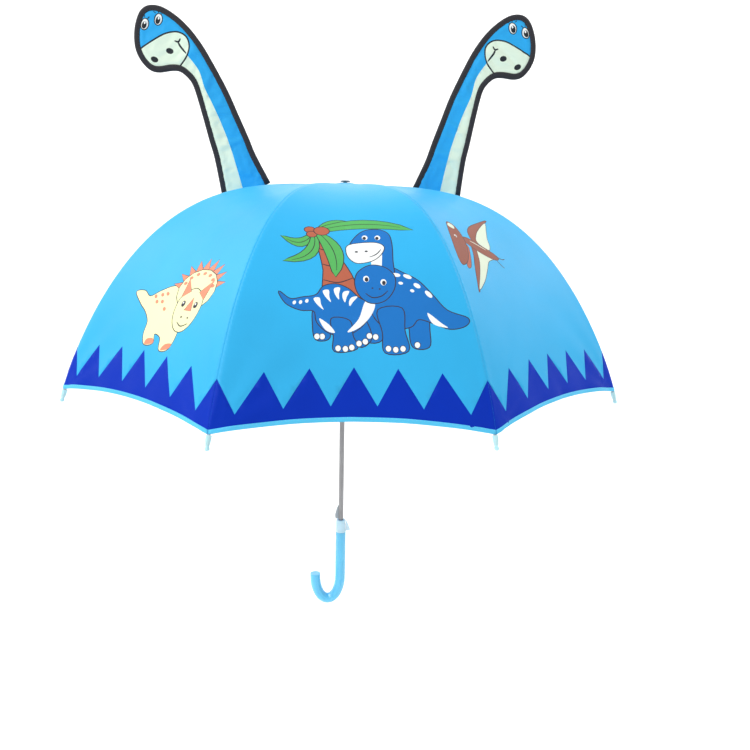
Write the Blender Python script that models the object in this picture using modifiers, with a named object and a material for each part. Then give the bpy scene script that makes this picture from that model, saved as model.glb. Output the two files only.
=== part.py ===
"""Children's automatic umbrella with two padded dinosaur necks standing on the canopy.

Units are metres, +Z runs up the shaft and the origin is the middle of the straight grip.
The front of the umbrella faces -Y and the hook of the handle opens towards -X.
The canopy is modelled open.  Rib 1 is the front left rib, and the ribs are numbered
anticlockwise as seen from above.
"""
import math

import bmesh
import bpy
from mathutils import Matrix, Vector

MM = 0.001
GAP = 0.3 * MM

# Canopy
RIM_Z = 0.270                     # height of the rib ends above the grip's middle
CANOPY_R = 0.351                  # radius at the rib ends
CANOPY_H = 0.240                  # rise from the rib ends to the crown
PROFILE_POWER = 3.4               # how flat the crown is
PROFILE_ROOT = 0.9                # how steep the side is
CROWN_RISE = 3.0 * MM
CROWN_SPREAD = 20.0 * MM
FABRIC_T = 0.6 * MM
FABRIC_HOLE_R = 4.0 * MM
SEAM_TRIM = 0.35 * MM
HEM_RISE = 12.0 * MM              # how much the hem is hollowed between two ribs
GORE_SAG = 5.0 * MM               # how far a taut gore dips between two ribs
ARMS = 8
FIRST_AZIMUTH = math.radians(-112.5)
ARM_STEP = 2.0 * math.pi / ARMS

# Ribs, stretchers and their joints
HINGE_R = 10.0 * MM
HINGE_Z = RIM_Z + CANOPY_H - 5.5 * MM
RIB_DROP = 2.7 * MM               # rib's centreline below the middle of the fabric
RIB_HALF = 1.2 * MM               # half the rib's square section
RIB_OVERRUN = 9.0 * MM            # rib beyond the fabric's corner, inside the tip
LINK_LENGTH = 0.220               # hinge to stretcher joint, and stretcher joint to runner
FOLD_ANGLE = math.radians(53.0)   # how far the ribs turn down to close
EYE_R = 2.2 * MM
WIRE_HOLE_R = 1.0 * MM
RIVET_HOLE_R = 1.1 * MM
RIVET_R = 0.8 * MM
STRETCHER_HALF = 2.2 * MM
FORK_HALF = 1.5 * MM
FORK_DEPTH = 13.0 * MM
RING_WIRE_R = 0.5 * MM
SLOT_HALF = 2.7 * MM

# Shaft
SHAFT_R = 3.5 * MM
SHAFT_BORE = 2.9 * MM
SHAFT_BOTTOM = -0.0300
SHAFT_TOP = HINGE_Z + 2.0 * MM
RUNNING_BORE = SHAFT_R + GAP

# Handle
GRIP_R = 7.2 * MM
GRIP_TOP = 0.0347
CROOK_START = -0.0328
CROOK_HALF_WIDTH = 17.7 * MM
CROOK_DEPTH = 34.0 * MM
CROOK_END = -0.0286

# Collar, release button and bottom catch
COLLAR_BOTTOM = 0.0350
COLLAR_TOP = 0.0525
BUTTON_HALF = 2.8 * MM
CATCH_HALF = 0.8 * MM
KEYWAY_HALF = 1.2 * MM

# Runner
RUNNER_OUT_R = 12.5 * MM
RUNNER_HUB_R = 7.2 * MM
SLEEVE_R = 6.6 * MM
SLEEVE_LENGTH = 32.0 * MM
PIN_DROP = 18.0 * MM
PIN_R = 0.6 * MM

# Necks
NECK_X = {"left": 0.127, "right": 0.119}      # middle of a neck's foot, from the shaft
NECK_Z = RIM_Z + 0.2328
NECK_LEAN = {"left": math.radians(0.0), "right": math.radians(-4.0)}
NECK_BINDING = 7.5 * MM
NECK_PANEL_HALF = 2.2 * MM
NECK_EDGE_HALF = 3.0 * MM
# Outline of a neck and its head, outwards and upwards from the middle of its foot
NECK_OUTLINE_MM = [
    (27.9, -21.8), (37.9, 32.8), (44.6, 57.3), (54.7, 95.2), (61.9, 119.0), (67.8, 129.2),
    (77.7, 137.0), (87.7, 138.0), (104.0, 135.5), (115.4, 138.5), (125.7, 149.3), (131.5, 164.0),
    (131.6, 182.7), (127.4, 198.7), (121.0, 208.3), (111.1, 212.6), (97.5, 211.0), (81.1, 202.0),
    (66.0, 188.8), (52.7, 172.6), (40.8, 153.9), (21.3, 118.9), (7.7, 89.1), (-4.6, 61.8),
    (-14.5, 38.8), (-38.0, -4.0),
]

# Closure strap, as shares of the rear gore's length and width
STRAP_ROWS = (0.780, 0.815)
STRAP_COLUMNS = (0.50, 0.95)


# ---------------------------------------------------------------- scene and materials

for old in list(bpy.data.objects):
    bpy.data.objects.remove(old)


def collection(name):
    made = bpy.data.collections.new(name)
    bpy.context.scene.collection.children.link(made)
    return made


PARTS = collection("childrens_umbrella")
CUTTERS = collection("cutters")


def material(name, colour, roughness, metallic=0.0):
    made = bpy.data.materials.new(name)
    made.use_nodes = True
    shader = made.node_tree.nodes["Principled BSDF"]
    shader.inputs["Base Color"].default_value = (*colour, 1.0)
    shader.inputs["Roughness"].default_value = roughness
    shader.inputs["Metallic"].default_value = metallic
    made.diffuse_color = (*colour, 1.0)
    return made


STEEL = material("shaft_steel", (0.30, 0.30, 0.32), 0.35, 1.0)
RIB_STEEL = material("rib_steel", (0.55, 0.56, 0.58), 0.4, 1.0)
SPRING_STEEL = material("spring_steel", (0.45, 0.45, 0.47), 0.3, 1.0)
GREY_PLASTIC = material("grey_plastic", (0.42, 0.46, 0.48), 0.5)
COLLAR_PLASTIC = material("collar_plastic", (0.62, 0.85, 0.95), 0.4)
HANDLE_PLASTIC = material("handle_plastic", (0.16, 0.58, 0.88), 0.3)
TIP_PLASTIC = material("tip_plastic", (0.55, 0.85, 0.95), 0.4)
NOTCH_PLASTIC = material("notch_plastic", (0.85, 0.88, 0.90), 0.45)
CANOPY_FABRIC = material("canopy_fabric", (0.05, 0.45, 0.80), 0.75)
NECK_FABRIC = material("neck_fabric", (0.05, 0.45, 0.85), 0.75)
EDGE_FABRIC = material("edge_fabric", (0.03, 0.03, 0.04), 0.85)


def add_part(obj, surface):
    for owner in list(obj.users_collection):
        owner.objects.unlink(obj)
    PARTS.objects.link(obj)
    obj.data.materials.clear()
    obj.data.materials.append(surface)
    if obj.type == "MESH":
        obj.data.shade_smooth()
        obj.data.set_sharp_from_angle(angle=math.radians(35.0))
    return obj


def add_cutter(obj):
    for owner in list(obj.users_collection):
        owner.objects.unlink(obj)
    CUTTERS.objects.link(obj)
    obj.hide_render = True
    obj.display_type = "WIRE"
    return obj


def finished_mesh(obj):
    """The object's shape with its modifiers, as a welded mesh in its own coordinates."""
    bpy.context.view_layer.update()
    graph = bpy.context.evaluated_depsgraph_get()
    mesh = bpy.data.meshes.new_from_object(obj.evaluated_get(graph))
    mesh.name = obj.name
    work = bmesh.new()
    work.from_mesh(mesh)
    bmesh.ops.remove_doubles(work, verts=work.verts, dist=0.002 * MM)
    bmesh.ops.recalc_face_normals(work, faces=work.faces)
    work.to_mesh(mesh)
    work.free()
    return mesh


def as_mesh(obj):
    """Turn a curve or a modified object into a plain mesh object in the same place."""
    mesh = finished_mesh(obj)
    made = bpy.data.objects.new(obj.name, mesh)
    made.matrix_world = obj.matrix_world.copy()
    bpy.context.scene.collection.objects.link(made)
    name = obj.name
    bpy.data.objects.remove(obj)
    made.name = name
    return made


def boolean(obj, other, operation="DIFFERENCE"):
    modifier = obj.modifiers.new(other.name, "BOOLEAN")
    modifier.operation = operation
    modifier.object = other
    return modifier


# ---------------------------------------------------------------- shape helpers

def plate(name, loops, half):
    """A flat outline with holes in local XY, as thick as 2 * half along local Z."""
    curve = bpy.data.curves.new(name, "CURVE")
    curve.dimensions = "2D"
    curve.fill_mode = "BOTH"
    curve.extrude = half
    for loop in loops:
        spline = curve.splines.new("POLY")
        spline.points.add(len(loop) - 1)
        for point, (x, y) in zip(spline.points, loop):
            point.co = (x, y, 0.0, 1.0)
        spline.use_cyclic_u = True
    obj = bpy.data.objects.new(name, curve)
    bpy.context.scene.collection.objects.link(obj)
    return obj


def turned(name, profile, steps):
    """A turned solid about local Z.  The profile is (radius, height), outer side top to bottom."""
    mesh = bpy.data.meshes.new(name)
    count = len(profile)
    closed = profile[0][0] > 0.0 and profile[-1][0] > 0.0
    edges = [(i, i + 1) for i in range(count - 1)]
    if closed:
        edges.append((count - 1, 0))
    mesh.from_pydata([(r, 0.0, z) for r, z in profile], edges, [])
    obj = bpy.data.objects.new(name, mesh)
    bpy.context.scene.collection.objects.link(obj)
    screw = obj.modifiers.new("turn", "SCREW")
    screw.steps = steps
    screw.render_steps = steps
    screw.use_merge_vertices = True
    screw.merge_threshold = 0.001 * MM
    screw.use_normal_calculate = True
    return obj


def cylinder(name, radius, low, high, sides=24):
    """An upright cylinder about Z, from one height to another."""
    bpy.ops.mesh.primitive_cylinder_add(
        vertices=sides, radius=radius, depth=high - low, location=(0.0, 0.0, (low + high) / 2.0)
    )
    obj = bpy.context.object
    obj.name = name
    return obj


def block(name, low, high):
    """A box between two corners."""
    centre = [(a + b) / 2.0 for a, b in zip(low, high)]
    bpy.ops.mesh.primitive_cube_add(size=1.0, location=centre)
    obj = bpy.context.object
    obj.name = name
    size = Matrix.Diagonal([b - a for a, b in zip(low, high)]).to_4x4()
    obj.data.transform(size)
    return obj


def wire(name, points, radius, resolution=2, cyclic=False):
    """A round wire along a list of points."""
    curve = bpy.data.curves.new(name, "CURVE")
    curve.dimensions = "3D"
    curve.bevel_depth = radius
    curve.bevel_resolution = resolution
    curve.use_fill_caps = not cyclic
    spline = curve.splines.new("POLY")
    spline.points.add(len(points) - 1)
    for point, place in zip(spline.points, points):
        point.co = (*place, 1.0)
    spline.use_cyclic_u = cyclic
    obj = bpy.data.objects.new(name, curve)
    bpy.context.scene.collection.objects.link(obj)
    return obj


def circle(centre, radius, sides, start=0.0, sweep=2.0 * math.pi):
    """Points of a circle, or of an arc of it with both ends."""
    whole = abs(sweep) > 2.0 * math.pi - 1e-6
    steps = sides if whole else sides - 1
    turns = [start + sweep * i / steps for i in range(sides)]
    return [(centre[0] + radius * math.cos(a), centre[1] + radius * math.sin(a)) for a in turns]


def smooth_path(points, per_span):
    """A smooth open curve through the points (Catmull-Rom)."""
    padded = [points[0], *points, points[-1]]
    out = []
    for i in range(1, len(padded) - 2):
        a, b, c, d = (Vector(p) for p in padded[i - 1:i + 3])
        for step in range(per_span):
            t = step / per_span
            out.append(
                0.5 * (2.0 * b + (c - a) * t + (2.0 * a - 5.0 * b + 4.0 * c - d) * t * t
                       + (3.0 * b - a - 3.0 * c + d) * t * t * t)
            )
    out.append(Vector(points[-1]))
    return out


def azimuth(arm):
    return FIRST_AZIMUTH + ARM_STEP * (arm - 1)


def outward(angle):
    return Vector((math.cos(angle), math.sin(angle), 0.0))


def upright(angle):
    """Rotation that stands a flat outline up in the plane of an azimuth."""
    return (math.pi / 2.0, 0.0, angle)


# ---------------------------------------------------------------- canopy surface

def canopy_z(r):
    """Height of the fabric along a rib, at a radius."""
    share = max(0.0, 1.0 - (r / CANOPY_R) ** PROFILE_POWER)
    crown = CROWN_RISE * math.exp(-((r / CROWN_SPREAD) ** 2))
    return RIM_Z + CANOPY_H * share ** PROFILE_ROOT + crown


def profile_points(count, start_r):
    """Points (r, z) at equal steps of length along the fabric above a rib."""
    fine = 1200
    radii = [start_r + (CANOPY_R - start_r) * (1.0 - (1.0 - i / fine) ** 1.5) for i in range(fine + 1)]
    line = [Vector((r, canopy_z(r))) for r in radii]
    length = [0.0]
    for a, b in zip(line, line[1:]):
        length.append(length[-1] + (b - a).length)
    out = []
    j = 0
    for i in range(count):
        want = length[-1] * i / (count - 1)
        while j < fine - 1 and length[j + 1] < want:
            j += 1
        share = (want - length[j]) / (length[j + 1] - length[j])
        out.append(line[j].lerp(line[j + 1], share))
    return out


PROFILE = profile_points(241, FABRIC_HOLE_R)
PROFILE_LENGTH = sum((b - a).length for a, b in zip(PROFILE, PROFILE[1:]))


def on_profile(share):
    """Point (r, z) of the fabric above a rib, at a share of its length."""
    place = min(max(share, 0.0), 1.0) * (len(PROFILE) - 1)
    i = min(int(place), len(PROFILE) - 2)
    return PROFILE[i].lerp(PROFILE[i + 1], place - i)


def gore_point(arm, down, across, lift=0.0):
    """A point of the gore between a rib and the next.

    down runs from the crown to the hem and across from the rib to the next, both 0 to 1.
    """
    hollow = 4.0 * across * (1.0 - across)
    share = down * (1.0 - HEM_RISE * hollow / PROFILE_LENGTH)
    r, z = on_profile(share)
    a, b = outward(azimuth(arm)), outward(azimuth(arm + 1))
    trim = SEAM_TRIM / (r * 2.0 * math.sin(ARM_STEP / 2.0))
    at = trim + (1.0 - 2.0 * trim) * across
    middle = outward(azimuth(arm) + ARM_STEP / 2.0)
    dip = GORE_SAG * hollow * math.sin(math.pi * min(1.0, share * 1.05)) - lift
    slope = max(0.0, min(1.0, share * 1.6 - 0.3))
    inwards = (middle * slope + Vector((0.0, 0.0, 1.0 - slope * 0.6))).normalized()
    return (a.lerp(b, at)) * r + Vector((0.0, 0.0, z)) - inwards * dip


def surface_patch(name, arm, downs, acrosses, thickness, lift, surface, origin):
    """A piece of fabric that follows a gore: an open grid with Solidify."""
    work = bmesh.new()
    grid = []
    for down in downs:
        row = [work.verts.new(gore_point(arm, down, across, lift) - origin) for across in acrosses]
        grid.append(row)
    for upper, lower in zip(grid, grid[1:]):
        for i in range(len(upper) - 1):
            work.faces.new((upper[i], lower[i], lower[i + 1], upper[i + 1]))
    mesh = bpy.data.meshes.new(name)
    work.to_mesh(mesh)
    work.free()
    obj = bpy.data.objects.new(name, mesh)
    obj.location = origin
    bpy.context.scene.collection.objects.link(obj)
    solidify = obj.modifiers.new("thickness", "SOLIDIFY")
    solidify.thickness = thickness
    solidify.offset = 0.0
    solidify.use_even_offset = True
    return add_part(obj, surface)


def gore_hinge(arm):
    """The point on two neighbouring rib hinges' axes, about which the gore between them folds."""
    middle = azimuth(arm) + ARM_STEP / 2.0
    return outward(middle) * (HINGE_R / math.cos(ARM_STEP / 2.0)) + Vector((0.0, 0.0, HINGE_Z))


def make_gores():
    downs = [i / 13.0 for i in range(14)]
    acrosses = [i / 4.0 for i in range(5)]
    for arm in range(1, ARMS + 1):
        surface_patch(
            f"gore_{arm}", arm, downs, acrosses, FABRIC_T, 0.0, CANOPY_FABRIC, gore_hinge(arm)
        )


def make_strap():
    rear = 5
    downs = [STRAP_ROWS[0] + (STRAP_ROWS[1] - STRAP_ROWS[0]) * i / 2.0 for i in range(3)]
    acrosses = [STRAP_COLUMNS[0] + (STRAP_COLUMNS[1] - STRAP_COLUMNS[0]) * i / 6.0 for i in range(7)]
    surface_patch(
        "closure_strap", rear, downs, acrosses, 1.0 * MM, 1.4 * MM, CANOPY_FABRIC, gore_hinge(rear)
    )


# ---------------------------------------------------------------- ribs and stretchers

def rib_line():
    """Centreline of a rib in (r, z), from its hinge to its end inside the tip."""
    start = on_profile(0.0)
    hinge = Vector((HINGE_R, HINGE_Z))
    line = [hinge]
    droop = canopy_z(HINGE_R) - RIB_DROP - HINGE_Z
    count = 24
    first = (HINGE_R - start.x + 9.0 * MM) / PROFILE_LENGTH
    for i in range(count + 1):
        share = first + (1.0 - first) * i / count
        here = on_profile(share)
        ahead = on_profile(share + 0.004) - on_profile(share - 0.004)
        normal = Vector((-ahead.y, ahead.x)).normalized()
        sink = droop * math.exp(-(((here.x - HINGE_R) / (22.0 * MM)) ** 2))
        line.append(here - normal * RIB_DROP - Vector((0.0, sink)))
    end = (line[-1] - line[-2]).normalized()
    line.append(line[-1] + end * RIB_OVERRUN)
    return line


RIB_LINE = rib_line()


def line_normal(line, i):
    """Upper normal of a centreline at one of its points."""
    ahead = (line[min(i + 1, len(line) - 1)] - line[max(i - 1, 0)]).normalized()
    return Vector((-ahead.y, ahead.x))


def stretcher_joint():
    """Where the stretcher's rivet crosses the rib: its place, its span of the centreline and share."""
    hinge = RIB_LINE[0]
    for i in range(1, len(RIB_LINE) - 1):
        ends = [RIB_LINE[j] - line_normal(RIB_LINE, j) * RIB_HALF - hinge for j in (i, i + 1)]
        if ends[0].length <= LINK_LENGTH < ends[1].length:
            low, high = 0.0, 1.0
            for _ in range(40):
                middle = (low + high) / 2.0
                if ends[0].lerp(ends[1], middle).length < LINK_LENGTH:
                    low = middle
                else:
                    high = middle
            return hinge + ends[0].lerp(ends[1], low), i, low
    return None


JOINT, JOINT_SPAN, JOINT_SHARE = stretcher_joint()
RUNNER_Z = 2.0 * JOINT.y - HINGE_Z


def rib_outline():
    """Outline and holes of a rib, from its hinge at (0, 0)."""
    hinge = RIB_LINE[0]
    first = (RIB_LINE[1] - hinge).normalized()
    heading = math.atan2(first.y, first.x)
    spread = math.asin(RIB_HALF / EYE_R)
    eye = circle((0.0, 0.0), EYE_R, 10, heading + spread, 2.0 * math.pi - 2.0 * spread)
    upper, lower = [], []
    for i in range(1, len(RIB_LINE)):
        normal = line_normal(RIB_LINE, i)
        upper.append(RIB_LINE[i] + normal * RIB_HALF - hinge)
        near_joint = i in (JOINT_SPAN, JOINT_SPAN + 1)
        if not near_joint or (RIB_LINE[i] - JOINT).length > EYE_R + RIB_HALF:
            lower.append(RIB_LINE[i] - normal * RIB_HALF - hinge)
        if i == JOINT_SPAN:
            along = (RIB_LINE[i + 1] - RIB_LINE[i]).normalized()
            turn = math.atan2(along.y, along.x)
            boss = circle(JOINT - hinge, EYE_R, 7, turn + math.pi, math.pi)
            lower.extend(Vector(p) for p in boss)
    outline = [tuple(p) for p in reversed(upper)] + eye + [tuple(p) for p in lower]
    joint_hole = circle(JOINT - hinge, RIVET_HOLE_R, 10)
    return [outline, circle((0.0, 0.0), WIRE_HOLE_R, 10), joint_hole]


def make_ribs():
    master = as_mesh(plate("rib_master", rib_outline(), RIB_HALF))
    for arm in range(1, ARMS + 1):
        rib = bpy.data.objects.new(f"rib_{arm}", master.data)
        rib.location = outward(azimuth(arm)) * HINGE_R + Vector((0.0, 0.0, HINGE_Z))
        rib.rotation_euler = upright(azimuth(arm))
        add_part(rib, RIB_STEEL)
    bpy.data.objects.remove(master)


def tip_profile():
    """Rib tip from its open end at height 0: a tapered sleeve with a ball on its end."""
    ball_r, ball_at = 2.6 * MM, 12.4 * MM
    ball = [
        (ball_r * math.sin(a), ball_at - ball_r * math.cos(a))
        for a in (math.radians(d) for d in (44.0, 75.0, 105.0, 138.0, 180.0))
    ]
    bore_r, bore_depth = 2.05 * MM, 8.8 * MM
    outer = [(2.9 * MM, 0.0), (2.9 * MM, 4.5 * MM), (2.2 * MM, 9.2 * MM)] + ball[:-1]
    outer.append((0.0, ball_at + ball_r))
    inner = [(0.0, bore_depth), (bore_r, bore_depth), (bore_r, 0.0)]
    return list(reversed(outer)), inner


def make_tips():
    """Plastic tips on the rib ends.  Their local Z runs out along the rib."""
    outer, inner = tip_profile()
    outline = outer + list(reversed(inner))
    master = turned("tip_master", outline, 10)
    master = as_mesh(master)
    end = RIB_LINE[-1] - RIB_LINE[-2]
    tilt = math.atan2(end.x, end.y)
    start = RIB_LINE[-2] + end.normalized() * 1.0 * MM
    for arm in range(1, ARMS + 1):
        tip = bpy.data.objects.new(f"rib_tip_{arm}", master.data)
        tip.location = outward(azimuth(arm)) * start.x + Vector((0.0, 0.0, start.y))
        spin = Matrix.Rotation(azimuth(arm), 3, "Z") @ Matrix.Rotation(tilt, 3, "Y")
        tip.rotation_euler = spin.to_euler()
        add_part(tip, TIP_PLASTIC)
    bpy.data.objects.remove(master)


def make_stretchers():
    """Forked links from the ribs to the runner, along local X from the rib's rivet."""
    spread = math.asin(RIB_HALF / EYE_R)
    around = 2.0 * math.pi - 2.0 * spread
    outline = circle((LINK_LENGTH, 0.0), EYE_R, 9, math.pi + spread, around)
    outline += circle((0.0, 0.0), EYE_R, 9, spread, around)
    holes = [circle((0.0, 0.0), RIVET_HOLE_R, 10, 0.2), circle((LINK_LENGTH, 0.0), RIVET_HOLE_R, 10, 0.5)]
    master = as_mesh(plate("stretcher_master", [outline] + holes, STRETCHER_HALF))
    fork = block(
        "fork_cutter", (-5.0 * MM, -5.0 * MM, -FORK_HALF), (FORK_DEPTH, 5.0 * MM, FORK_HALF)
    )
    boolean(master, add_cutter(fork))
    master = as_mesh(master)
    to_runner = Vector((HINGE_R, RUNNER_Z)) - JOINT
    heading = math.atan2(to_runner.y, to_runner.x)
    for arm in range(1, ARMS + 1):
        link = bpy.data.objects.new(f"stretcher_{arm}", master.data)
        link.location = outward(azimuth(arm)) * JOINT.x + Vector((0.0, 0.0, JOINT.y))
        stand = Matrix.Rotation(azimuth(arm), 3, "Z") @ Matrix.Rotation(math.pi / 2.0, 3, "X")
        link.rotation_euler = (stand @ Matrix.Rotation(heading, 3, "Z")).to_euler()
        add_part(link, RIB_STEEL)
    bpy.data.objects.remove(master)


def make_rivets():
    head_r, head_t = 1.6 * MM, 0.5 * MM
    inside = STRETCHER_HALF + GAP
    profile = [
        (0.0, inside + head_t), (head_r, inside + head_t), (head_r, inside), (RIVET_R, inside),
        (RIVET_R, -inside), (head_r, -inside), (head_r, -inside - head_t), (0.0, -inside - head_t),
    ]
    master = as_mesh(turned("rivet_master", profile, 8))
    for arm in range(1, ARMS + 1):
        rivet = bpy.data.objects.new(f"rivet_{arm}", master.data)
        rivet.location = outward(azimuth(arm)) * JOINT.x + Vector((0.0, 0.0, JOINT.y))
        rivet.rotation_euler = upright(azimuth(arm))
        add_part(rivet, RIB_STEEL)
    bpy.data.objects.remove(master)


# ---------------------------------------------------------------- notch and runner

def flange_outline(out_r, keyed):
    """Plan of a slotted flange.  A keyed one has no tooth at -X and a slit into its bore."""
    outline = []
    for arm in range(1, ARMS + 1):
        out = outward(azimuth(arm))
        side = Vector((-out.y, out.x, 0.0))
        for r, t in ((out_r, -SLOT_HALF), (RUNNER_HUB_R, -SLOT_HALF),
                     (RUNNER_HUB_R, SLOT_HALF), (out_r, SLOT_HALF)):
            spot = out * r + side * t
            middle_web = keyed and arm in (6, 7) and r == out_r
            faces_key = (arm == 6 and t > 0.0) or (arm == 7 and t < 0.0)
            if not (middle_web and faces_key):
                outline.append((spot.x, spot.y))
        if keyed and arm == 6:
            edge = math.asin(KEYWAY_HALF / RUNNING_BORE)
            outline.append((-RUNNER_HUB_R, KEYWAY_HALF))
            outline.extend(circle((0, 0), RUNNING_BORE, 20, math.pi - edge, -2.0 * math.pi + 2.0 * edge))
            outline.append((-RUNNER_HUB_R, -KEYWAY_HALF))
        else:
            half = math.asin(SLOT_HALF / out_r)
            outline.extend(circle((0, 0), out_r, 4, azimuth(arm) + half, ARM_STEP - 2.0 * half)[1:-1])
    return outline


def sleeve_outline():
    """Plan of the runner's sleeve: a ring open at -X for the catch."""
    outer_edge = math.asin(KEYWAY_HALF / SLEEVE_R)
    inner_edge = math.asin(KEYWAY_HALF / RUNNING_BORE)
    outer = circle((0, 0), SLEEVE_R, 22, -math.pi + outer_edge, 2.0 * math.pi - 2.0 * outer_edge)
    inner = circle((0, 0), RUNNING_BORE, 20, math.pi - inner_edge, -2.0 * math.pi + 2.0 * inner_edge)
    return outer + inner


def wire_groove(name, height):
    """Ring cutter for the wire groove round a flange."""
    low, high = height - 0.9 * MM, height + 0.9 * MM
    inner, outer = 9.1 * MM, 15.0 * MM
    ring = turned(name, [(outer, high), (outer, low), (inner, low), (inner, high)], 32)
    return add_cutter(as_mesh(ring))


def make_notch():
    """Crown notch: a slotted flange, grooved for the ring of wire that holds the rib eyes."""
    half = 3.0 * MM
    bore = circle((0, 0), RUNNING_BORE, 20)
    flange = plate("notch", [flange_outline(RUNNER_OUT_R, False), bore], half)
    flange.location = (0.0, 0.0, HINGE_Z)
    flange = as_mesh(flange)
    top, foot = 7.0 * MM, -8.0 * MM
    hub = [(6.4 * MM, top), (6.4 * MM, foot), (RUNNING_BORE, foot), (RUNNING_BORE, top)]
    sleeve = as_mesh(turned("notch_hub", hub, 20))
    sleeve.location = (0.0, 0.0, HINGE_Z)
    boolean(flange, wire_groove("notch_groove", HINGE_Z))
    boolean(flange, add_cutter(sleeve), "UNION")
    add_part(flange, NOTCH_PLASTIC)


def make_runner():
    """Runner: a slotted flange and a sleeve, slit at -X for the catch and drilled for the pin."""
    half = 3.4 * MM
    flange = plate("runner", [flange_outline(RUNNER_OUT_R, True)], half)
    flange.location = (0.0, 0.0, RUNNER_Z)
    flange = as_mesh(flange)
    sleeve = plate("runner_sleeve", [sleeve_outline()], SLEEVE_LENGTH / 2.0)
    sleeve.location = (0.0, 0.0, RUNNER_Z - SLEEVE_LENGTH / 2.0)
    sleeve = add_cutter(as_mesh(sleeve))
    boolean(flange, wire_groove("runner_groove", RUNNER_Z))
    boolean(flange, sleeve, "UNION")
    hole = cylinder("pin_hole_cutter", PIN_R + GAP, 0.0, 5.7 * MM, 12)
    hole.rotation_euler = (-math.pi / 2.0, 0.0, 0.0)
    hole.location = (0.0, 2.85 * MM, RUNNER_Z - PIN_DROP)
    boolean(flange, add_cutter(hole))
    add_part(flange, NOTCH_PLASTIC)


def make_rings():
    for name, height in (("notch_wire", HINGE_Z), ("runner_wire", RUNNER_Z)):
        bpy.ops.mesh.primitive_torus_add(
            major_radius=HINGE_R, minor_radius=RING_WIRE_R, major_segments=24, minor_segments=5,
            location=(0.0, 0.0, height),
        )
        ring = bpy.context.object
        ring.name = name
        add_part(ring, SPRING_STEEL)


def make_crown_cap():
    """Crown cap: a low button over the fabric, with a stem in the top of the shaft."""
    low = canopy_z(0.0) + FABRIC_T / 2.0 + GAP
    stem_r = SHAFT_BORE - GAP
    profile = [
        (0.0, low + 2.0 * MM), (4.6 * MM, low + 2.0 * MM), (5.9 * MM, low + 1.4 * MM),
        (6.5 * MM, low), (stem_r, low), (stem_r, SHAFT_TOP - 7.0 * MM), (0.0, SHAFT_TOP - 7.0 * MM),
    ]
    add_part(as_mesh(turned("crown_cap", profile, 20)), TIP_PLASTIC)


# ---------------------------------------------------------------- shaft and its insides

def make_shaft():
    profile = [
        (SHAFT_R, SHAFT_TOP), (SHAFT_R, SHAFT_BOTTOM), (SHAFT_BORE, SHAFT_BOTTOM),
        (SHAFT_BORE, SHAFT_TOP),
    ]
    shaft = as_mesh(turned("shaft", profile, 24))
    pin_open = RUNNER_Z - PIN_DROP
    pin_closed = CLOSED_RUNNER_Z - PIN_DROP
    reach = PIN_R + 2.0 * GAP
    slot = block(
        "shaft_slot_cutter", (-0.9 * MM, 1.0 * MM, pin_closed - reach),
        (0.9 * MM, 6.0 * MM, pin_open + reach),
    )
    window = block(
        "catch_window_cutter", (-6.0 * MM, -1.1 * MM, 0.0534), (-1.0 * MM, 1.1 * MM, 0.0748)
    )
    boolean(shaft, add_cutter(slot))
    boolean(shaft, add_cutter(window))
    add_part(shaft, STEEL)


def closed_runner_height():
    """Height of the runner's pivots when the ribs are folded down."""
    open_chord = JOINT - Vector((HINGE_R, HINGE_Z))
    from_down = math.atan2(open_chord.x, -open_chord.y)
    return HINGE_Z - 2.0 * LINK_LENGTH * math.cos(from_down - FOLD_ANGLE)


CLOSED_RUNNER_Z = closed_runner_height()


def helix(start, end, radius, turns, per_turn):
    """Points of a coil about the line from start to end."""
    start, end = Vector(start), Vector(end)
    along = (end - start).normalized()
    side = along.orthogonal().normalized()
    other = along.cross(side)
    out = []
    for i in range(turns * per_turn + 1):
        angle = 2.0 * math.pi * i / per_turn
        centre = start.lerp(end, i / (turns * per_turn))
        out.append(centre + (side * math.cos(angle) + other * math.sin(angle)) * radius)
    return out


def make_opening_parts():
    """Tension spring inside the shaft that pulls the runner's pin up."""
    pin_z = RUNNER_Z - PIN_DROP
    pin = cylinder("drive_pin", PIN_R, 0.3 * MM, 5.3 * MM, 10)
    pin.data.transform(Matrix.Translation((0.0, 0.0, 2.8 * MM)))
    pin.location = (0.0, 0.0, pin_z)
    pin.rotation_euler = (-math.pi / 2.0, 0.0, 0.0)
    add_part(pin, STEEL)
    wire_r = 0.35 * MM
    low = pin_z + PIN_R + wire_r + GAP
    high = SHAFT_TOP - 7.0 * MM - wire_r - GAP
    spring = wire("opening_spring", helix((0, 0, low), (0, 0, high), 1.9 * MM, 11, 7), wire_r, 0)
    add_part(spring, SPRING_STEEL)


def make_catch():
    """Bottom catch: a leaf inside the shaft with a wedge that stands out at -X."""
    outline = [
        (-1.9, 40.0), (-1.9, 73.6), (-4.0, 73.6), (-5.9, 69.2), (-8.2, 60.4), (-7.8, 54.6),
        (-2.45, 54.6), (-2.45, 40.0),
    ]
    catch = plate("bottom_catch", [[(x * MM, z * MM) for x, z in outline]], CATCH_HALF)
    catch.rotation_euler = upright(0.0)
    add_part(as_mesh(catch), GREY_PLASTIC)


# ---------------------------------------------------------------- collar, button and handle

def make_collar():
    top_r = 6.3 * MM
    profile = [
        (top_r, COLLAR_TOP), (GRIP_R - 0.3 * MM, COLLAR_TOP - 5.0 * MM), (GRIP_R, COLLAR_BOTTOM),
        (RUNNING_BORE, COLLAR_BOTTOM), (RUNNING_BORE, COLLAR_TOP),
    ]
    collar = as_mesh(turned("collar", profile, 28))
    room = BUTTON_HALF + GAP
    window = block(
        "button_window_cutter", (3.0 * MM, -room, 0.0367), (12.0 * MM, room, 0.0505)
    )
    boolean(collar, add_cutter(window))
    add_part(collar, COLLAR_PLASTIC)


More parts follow.
